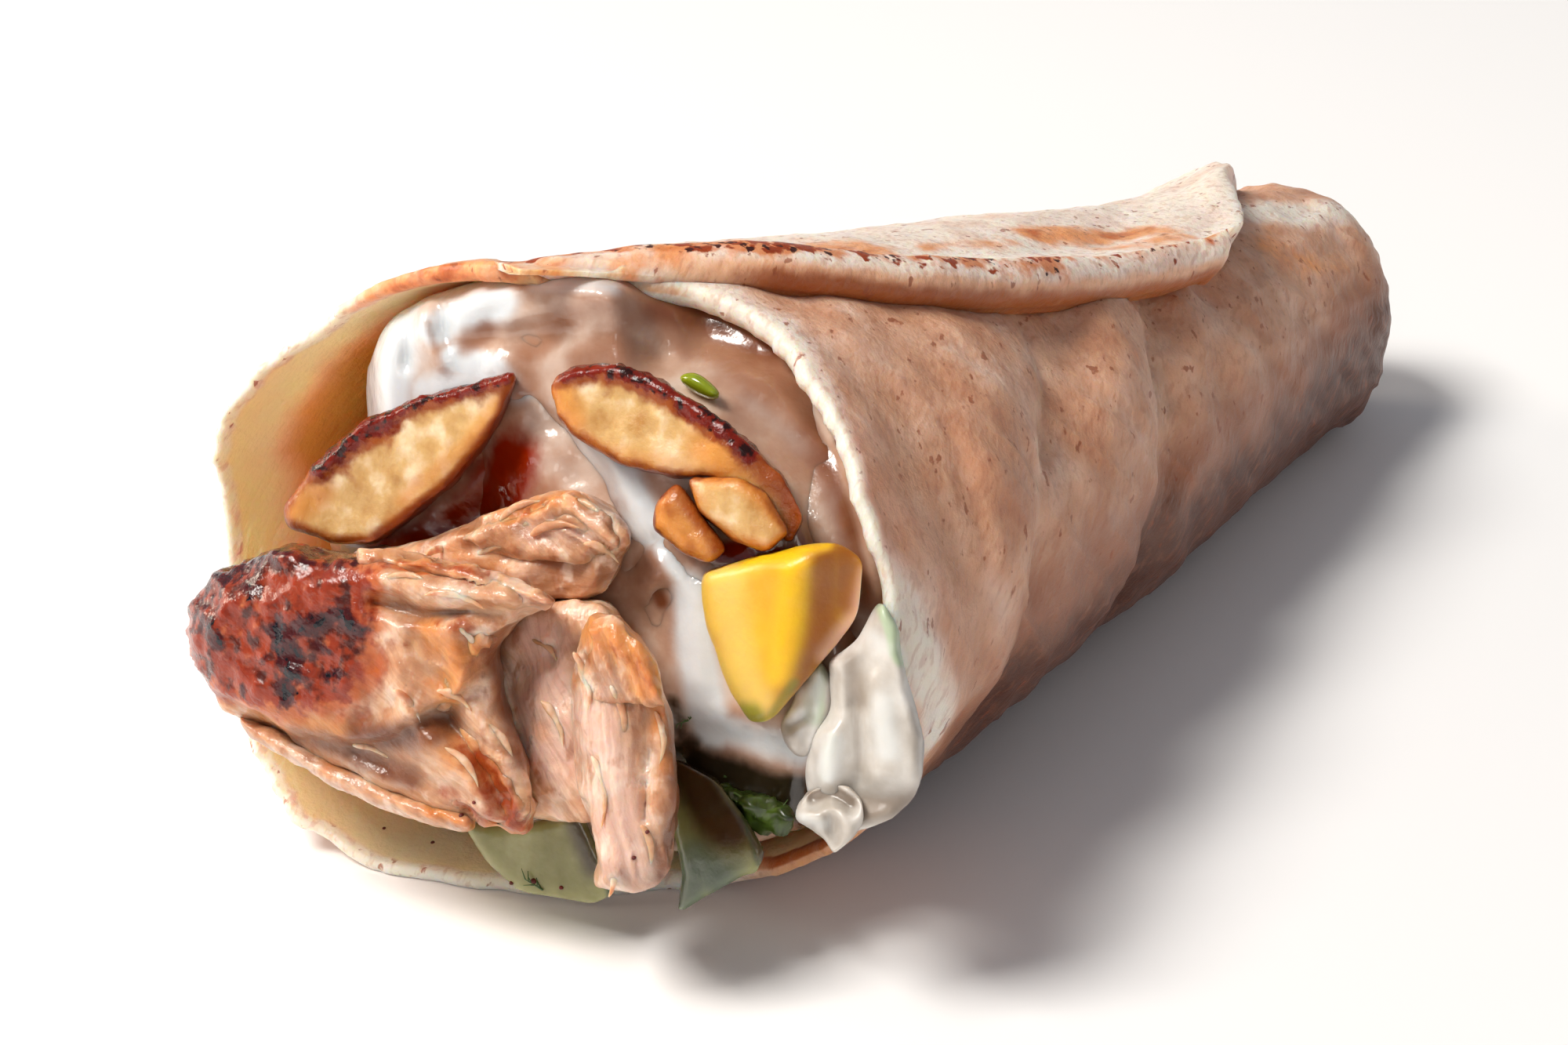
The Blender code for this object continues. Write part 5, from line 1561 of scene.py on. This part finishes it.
@dataclass
class SaucedFilling:
    """The core of mixed filling under sauce, whose face shows in the mouth between the pieces."""

    roll: Roll = ROLL
    inset: Curve = Curve(((0, 4), (60, 5), (95, 2), (120, 5), (150, 15), (200, 17), (240, 13), (275, 7), (320, 4)),
                         FULL_TURN)
    hollow: float = 3.0
    inside: float = 4.2
    segments: int = 224
    rings: int = 170
    face_share: float = 0.62
    cap_share: float = 0.16
    reliefs: tuple[Stroke, ...] = (
        Stroke(((26, 26), (31, 20)), 0.7, 3.0), Stroke(((34, 8), (36, 0)), 0.8, 3.0),
        Stroke(((-30, 12), (-24, 22)), 0.9, 3.0),
    )
    marks: dict[str, tuple[Stroke | Raised, ...]] = field(default_factory=lambda: {
        # Partly painted light: the sauce's white, brightest on its ridges.
        "white": (
            Stroke(((-16, 33), (-16.5, 27), (-17, 22.5)), 1.0, 3.4), Stroke(((-12, 31), (-8, 30), (-4, 33)), 0.9, 2.6),
            Stroke(((-6, 27), (-4, 24.5), (-2, 23.6)), 0.8, 1.8), Stroke(((18, 1), (18.5, -6), (20, -14)), 0.9, 2.6),
            Stroke(((0, 35.6), (9, 34)), 0.5, 1.6),
        ),
        # Painted shade in the dips and on the shaded right side.
        "tan": (
            Stroke(((-8, 28.6), (-6, 30.5)), 0.8, 1.7), Stroke(((-1, 28), (3, 31)), 0.8, 2.4),
            Stroke(((5, 27), (9, 29), (12, 27)), 0.8, 2.6), Stroke(((-12.4, 31.6), (-11, 27)), 0.5, 1.0),
            Stroke(((12, 31), (15, 29)), 0.7, 2.4), Stroke(((-3, 18), (0, 12)), 0.6, 3.0),
            Stroke(((19, 24), (27, 18)), 0.5, 3.0),
        ),
        # Painted shade, partly juice-brown sauce.
        "brown": (
            Stroke(((32, 20), (36, 12), (38, 2)), 0.9, 4.5), Stroke(((24, 27), (30, 22)), 0.5, 3.0),
            Stroke(((14, 0.5), (14.4, -0.5)), 0.9, 1.0), Stroke(((19, 31), (26, 28)), 0.9, 2.5),
            Stroke(((-22, 3), (-14, 4)), 0.8, 3.0), Stroke(((31, 4), (35, -3)), 0.8, 2.6),
        ),
        # Meat juice with painted shade on it.
        "juice": (
            Stroke(((-14, 5.5), (-9, 9), (-4, 12.5), (-3, 16)), 1.0, 3.6), Stroke(((-18, 3.5), (-8, 5)), 0.9, 2.4),
            Stroke(((22, 5.2), (29.5, 4.4)), 1.0, 1.4),
        ),
        # Painted shade in the deep recesses.
        "dark": (
            Stroke(((20, -22), (27, -25.5), (30, -27)), 1.0, 3.2), Stroke(((12, -34), (14, -28)), 0.9, 2.5),
            Stroke(((18, -16.5), (22, -18), (24, -20)), 0.8, 2.0), Stroke(((-24, -26), (-12, -32)), 0.5, 3.0),
        ),
    })

    def build(self) -> None:
        """Builds the core: a closed skin from the middle of its face, along the bread's inside, to the tail."""
        bm, ring, angle = ball(self.segments, self.rings)
        mesh = to_mesh("sauced_core", bm)
        share = ring / self.rings
        spread = np.minimum(share / self.face_share, 1)
        run = np.clip((share - self.face_share) / (1 - self.face_share - self.cap_share), 0, 1)
        bend = np.clip((share - 1 + self.cap_share) / self.cap_share, 0, 1) * math.pi / 2
        edge = self.roll.rim.at(angle) + self.inset.at(angle)
        front = edge * spread ** 2 + self.hollow * (1 - spread ** 2)
        along = front + (self.roll.length - front) * run + (self.roll.cap - self.inside) * np.sin(bend)
        skin = self.roll.at(angle, along, -self.inside)
        axis = self.roll.at(angle, along, 0.0, 0.0)
        points = axis + (skin - axis) * (spread * np.cos(bend))[:, None]
        across, up, _ = FACE.read(points)
        open_face = smooth_step((1 - run * 40)) * smooth_step((1 - spread) / 0.05)
        height = sum(relief.on(across, up) for relief in self.reliefs) + 0.9 * lumps(points, 6, 9, 3)
        out = FACE.axes()[2]
        points = points + np.outer(height * open_face, out)
        write_points(mesh, points * MM)
        smoothed(mesh, 2)
        face_out(mesh)
        for mark, strokes in self.marks.items():
            store(mesh, mark, painted(strokes, across, up) * open_face)
        show(mesh, SAUCE.material(), ("sauced_filling",))


@dataclass
class Garnish:
    """Spice crumbs and dill threads that lie on whatever is in front, at places on the mouth's face."""

    crumbs: tuple[tuple[float, float, float], ...] = (
        (-11.6, -28.5, 0.55), (-5.5, -32.8, 0.4), (-0.7, -33.0, 0.5), (-12.6, -27.0, 0.35), (-3.4, -33.4, 0.35),
        (-14.0, -30.0, 0.3), (13.3, -25.4, 0.3), (11.8, -28.3, 0.3), (-8.2, -24.6, 0.35), (-6.4, -22.8, 0.3),
        (-20.0, -28.4, 0.25), (2.6, -33.6, 0.35),
    )
    # Each sprig: where its stem starts on the face, its direction, its length, and its threads.
    sprigs: tuple[tuple[float, float, float, float, int], ...] = (
        (17.6, -13.7, 40.0, 4.6, 1), (17.6, -13.9, 120.0, 1.6, 3), (17.4, -14.0, 200.0, 1.4, 3),
        (22.6, -22.0, -30.0, 4.6, 9), (25.0, -24.6, 8.0, 4.0, 8), (21.4, -20.4, -12.0, 3.0, 5),
        (0.4, -34.0, 150.0, 2.4, 6),
    )
    # Each shred of chicken: its middle on the face, its direction, its length and its width.
    shreds: tuple[tuple[float, float, float, float, float], ...] = (
        (-1.5, 10.2, 22, 6.0, 0.9), (2.5, 8.0, 8, 6.5, 1.0), (6.6, 10.2, -34, 4.5, 0.8), (8.0, 5.4, -30, 4.6, 0.9),
        (-5.0, 5.4, 12, 6.0, 0.8), (-11.0, 5.2, 4, 6.0, 0.8), (-8.0, 0.2, -14, 7.0, 0.8), (-13.5, 2.4, -8, 6.0, 0.7),
        (-6.6, -4.6, -60, 4.0, 0.8), (-8.4, -11.0, -30, 4.4, 0.9), (-13.6, -11.8, -52, 5.0, 0.8),
        (6.4, -9.0, -78, 7.0, 0.8), (10.4, -13.0, -84, 8.0, 0.9), (14.8, -15.0, -86, 6.0, 0.7),
        (8.2, -21.0, -82, 8.0, 0.8), (13.4, -27.0, -80, 5.0, 0.8), (9.4, -31.0, -96, 3.6, 0.8),
        (-3.2, -16.0, -58, 6.0, 0.9), (-7.4, -18.6, -50, 6.0, 0.8), (-18.0, -17.6, -24, 6.0, 0.8),
        (1.4, -5.6, -40, 4.6, 0.9), (2.6, -14.0, -66, 6.0, 0.9),
    )
    thread: float = 0.1
    reach: float = 60.0
    seed: int = 7

    def surface(self, across: float, up: float) -> Vector:
        """The first place in front of the filling at a place on the face.

        Args:
            across: the distance to the right of the mouth's middle.
            up: the distance above it.

        Returns:
            The place, in millimetres.
        """
        start = FACE.at(np.array([across]), np.array([up]), 0.0, self.reach)[0]
        out = Vector(FACE.axes()[2])
        graph = bpy.context.evaluated_depsgraph_get()
        hit, place, *_ = bpy.context.scene.ray_cast(graph, Vector(start) * MM, -out, distance=2 * self.reach * MM)
        return place / MM if hit else Vector(FACE.at(np.array([across]), np.array([up]), 0.0)[0])

    def build_crumbs(self) -> None:
        """Builds the spice crumbs as one mesh."""
        bm = bmesh.new()
        for across, up, radius in self.crumbs:
            place = Matrix.Translation(self.surface(across, up) * MM)
            bmesh.ops.create_icosphere(bm, subdivisions=2, radius=radius * MM,
                                       matrix=place @ Matrix.Diagonal((1.0, 0.8, 0.7, 1.0)))
        mesh = to_mesh("spice_crumbs", bm)
        face_out(mesh)
        show(mesh, SPICE.material(), ())

    def build_shreds(self) -> None:
        """Builds the torn shreds of chicken as one mesh of tapered strands that lie on the pieces under them."""
        bm = bmesh.new()
        out = Vector(FACE.axes()[2])
        for across, up, direction, length, width in self.shreds:
            way = self.toward(direction) * length / 2
            right, rise, _ = (Vector(axis) for axis in FACE.axes())
            ends = [self.surface(across + sign * way.dot(right), up + sign * way.dot(rise)) for sign in (-0.8, 0.8)]
            middle = self.surface(across, up)
            run = (ends[1] - ends[0]).normalized() if (ends[1] - ends[0]).length < 2 * length else way.normalized()
            side = run.cross(out).normalized()
            grown = bmesh.ops.create_uvsphere(bm, u_segments=12, v_segments=20, radius=1)["verts"]
            for vert in grown:
                flat, thick, share = vert.co
                bend = 0.12 * length * (share * share - 0.4)
                taper = 1 - 0.45 * share
                place = run * (share * length / 2) + side * (flat * width * taper / 2 + bend)
                vert.co = (middle + place + out * (thick * width * 0.4 * taper - 0.1 * width * share)) * MM
        mesh = to_mesh("chicken_shreds", bm)
        points, normals = read_points(mesh) / MM, read_normals(mesh)
        write_points(mesh, (points + normals * (0.12 * noise(points, 0.9, 91))[:, None]) * MM)
        face_out(mesh)
        mesh.shade_smooth()
        show(mesh, CHICKEN.material(), ())

    def build_dill(self) -> None:
        """Builds the dill as one mesh of tapered threads: each sprig's stem, and its leaves along both sides."""
        bm = bmesh.new()
        chance = np.random.default_rng(self.seed)
        for across, up, direction, length, threads in self.sprigs:
            root = self.surface(across, up) + Vector(FACE.axes()[2]) * self.thread
            self.add_thread(bm, root, direction, length, 1.4 * self.thread)
            for share in np.linspace(0.15, 1.0, threads):
                side = 1 if chance.random() > 0.5 else -1
                start = root + self.toward(direction) * length * float(share)
                spread = direction + side * chance.uniform(20, 60)
                self.add_thread(bm, start, spread, length * chance.uniform(0.3, 0.6), self.thread)
        mesh = to_mesh("dill_threads", bm)
        face_out(mesh)
        show(mesh, DILL.material(), ())

    def toward(self, direction: float) -> Vector:
        """The direction on the face, as a vector."""
        right, rise, _ = FACE.axes()
        turn = math.radians(direction)
        return Vector(right * math.cos(turn) + rise * math.sin(turn))

    def add_thread(self, bm: bmesh.types.BMesh, start: Vector, direction: float, length: float, radius: float) -> None:
        """Adds one tapered thread.

        Args:
            bm: the mesh that it joins.
            start: where it starts, in millimetres.
            direction: where it points on the face.
            length: its length.
            radius: its radius at its start.
        """
        way = self.toward(direction)
        turn = way.to_track_quat("Z", "Y").to_matrix().to_4x4()
        middle = Matrix.Translation((start + way * length / 2) * MM)
        bmesh.ops.create_cone(bm, cap_ends=True, segments=5, radius1=radius * MM, radius2=radius * 0.4 * MM,
                              depth=length * MM, matrix=middle @ turn)

    def build(self) -> None:
        """Builds the garnish, after everything that it lies on."""
        bpy.context.view_layer.update()
        self.build_shreds()
        bpy.context.view_layer.update()
        self.build_crumbs()
        self.build_dill()


# ---------------------------------------------------------------- studio


@dataclass(frozen=True)
class SoftLight:
    """A soft square light: where it stands in metres, its side, its power in watts, and its sRGB colour."""

    name: str
    place: tuple[float, float, float]
    side: float
    power: float
    colour: str = "FFFFFF"
    aim: tuple[float, float, float] = (0.0, 0.0, 0.03)

    def build(self) -> None:
        """Puts the light into the scene."""
        light = bpy.data.lights.new(self.name, "AREA")
        light.shape = "SQUARE"
        light.size = self.side
        light.energy = self.power
        light.color = linear(self.colour)[:3]
        lamp = bpy.data.objects.new(self.name, light)
        lamp.location = self.place
        lamp.rotation_euler = (Vector(self.aim) - Vector(self.place)).to_track_quat("-Z", "Y").to_euler()
        bpy.context.scene.collection.objects.link(lamp)


@dataclass
class Studio:
    """A pale floor, soft lights and the camera."""

    floor_side: float = 6.0
    floor_colour: str = "FAFAFA"
    sky: float = 0.24
    sky_colour: str = "F4F6FF"
    lights: tuple[SoftLight, ...] = (
        SoftLight("key", (-0.9, 0.45, 1.45), 0.6, 33.0, "FFFAF3"),
        SoftLight("front", (-1.4, -0.9, 0.8), 0.5, 2.6, "FFF8F0"),
        SoftLight("back", (-0.5, 1.5, 0.5), 0.5, 9.0, "FFF0DC"),
    )
    camera_place: tuple[float, float, float] = (-355.49, -258.26, 239.72)
    camera_aim: tuple[float, float, float] = (-56.05, -17.48, 44.43)
    lens: float = 85.63

    def build_floor(self) -> None:
        """A wide floor under the wrap."""
        bm = bmesh.new()
        bmesh.ops.create_grid(bm, x_segments=1, y_segments=1, size=self.floor_side / 2)
        mesh = to_mesh("floor", bm)
        matt = bpy.data.materials.new("matt_paper")
        matt.use_nodes = True
        shader = matt.node_tree.nodes["Principled BSDF"]
        shader.inputs["Base Color"].default_value = linear(self.floor_colour)
        shader.inputs["Roughness"].default_value = 0.9
        mesh.materials.append(matt)
        floor = bpy.data.objects.new("floor", mesh)
        bpy.context.scene.collection.objects.link(floor)

    def build_camera(self) -> None:
        """The camera, with everything in focus."""
        camera = bpy.data.cameras.new("camera")
        camera.lens = self.lens
        camera.sensor_width = 36.0
        camera.clip_start = 0.01
        holder = bpy.data.objects.new("camera", camera)
        place, aim = Vector(self.camera_place) * MM, Vector(self.camera_aim) * MM
        holder.location = place
        holder.rotation_euler = (aim - place).to_track_quat("-Z", "Y").to_euler()
        bpy.context.scene.collection.objects.link(holder)
        bpy.context.scene.camera = holder

    def build(self) -> None:
        """Builds the studio."""
        world = bpy.data.worlds.new("soft_sky")
        world.use_nodes = True
        background = world.node_tree.nodes["Background"]
        background.inputs["Color"].default_value = linear(self.sky_colour)
        background.inputs["Strength"].default_value = self.sky
        bpy.context.scene.world = world
        bpy.context.scene.view_settings.view_transform = "Standard"
        self.build_floor()
        for light in self.lights:
            light.build()
        self.build_camera()


def main() -> None:
    """Builds the wrap and the studio."""
    logging.basicConfig(level=logging.INFO, format="%(name)s %(message)s")
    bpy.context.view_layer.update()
    Flatbread().build()
    SaucedFilling().build()
    materials: dict[str, bpy.types.Material] = {}
    for piece in PIECES:
        name = piece.finish.name
        if name not in materials:
            materials[name] = piece.finish.material()
        piece.build(materials[name])
    Garnish().build()
    Studio().build()
    bpy.context.view_layer.update()


if __name__ == "__main__":
    main()
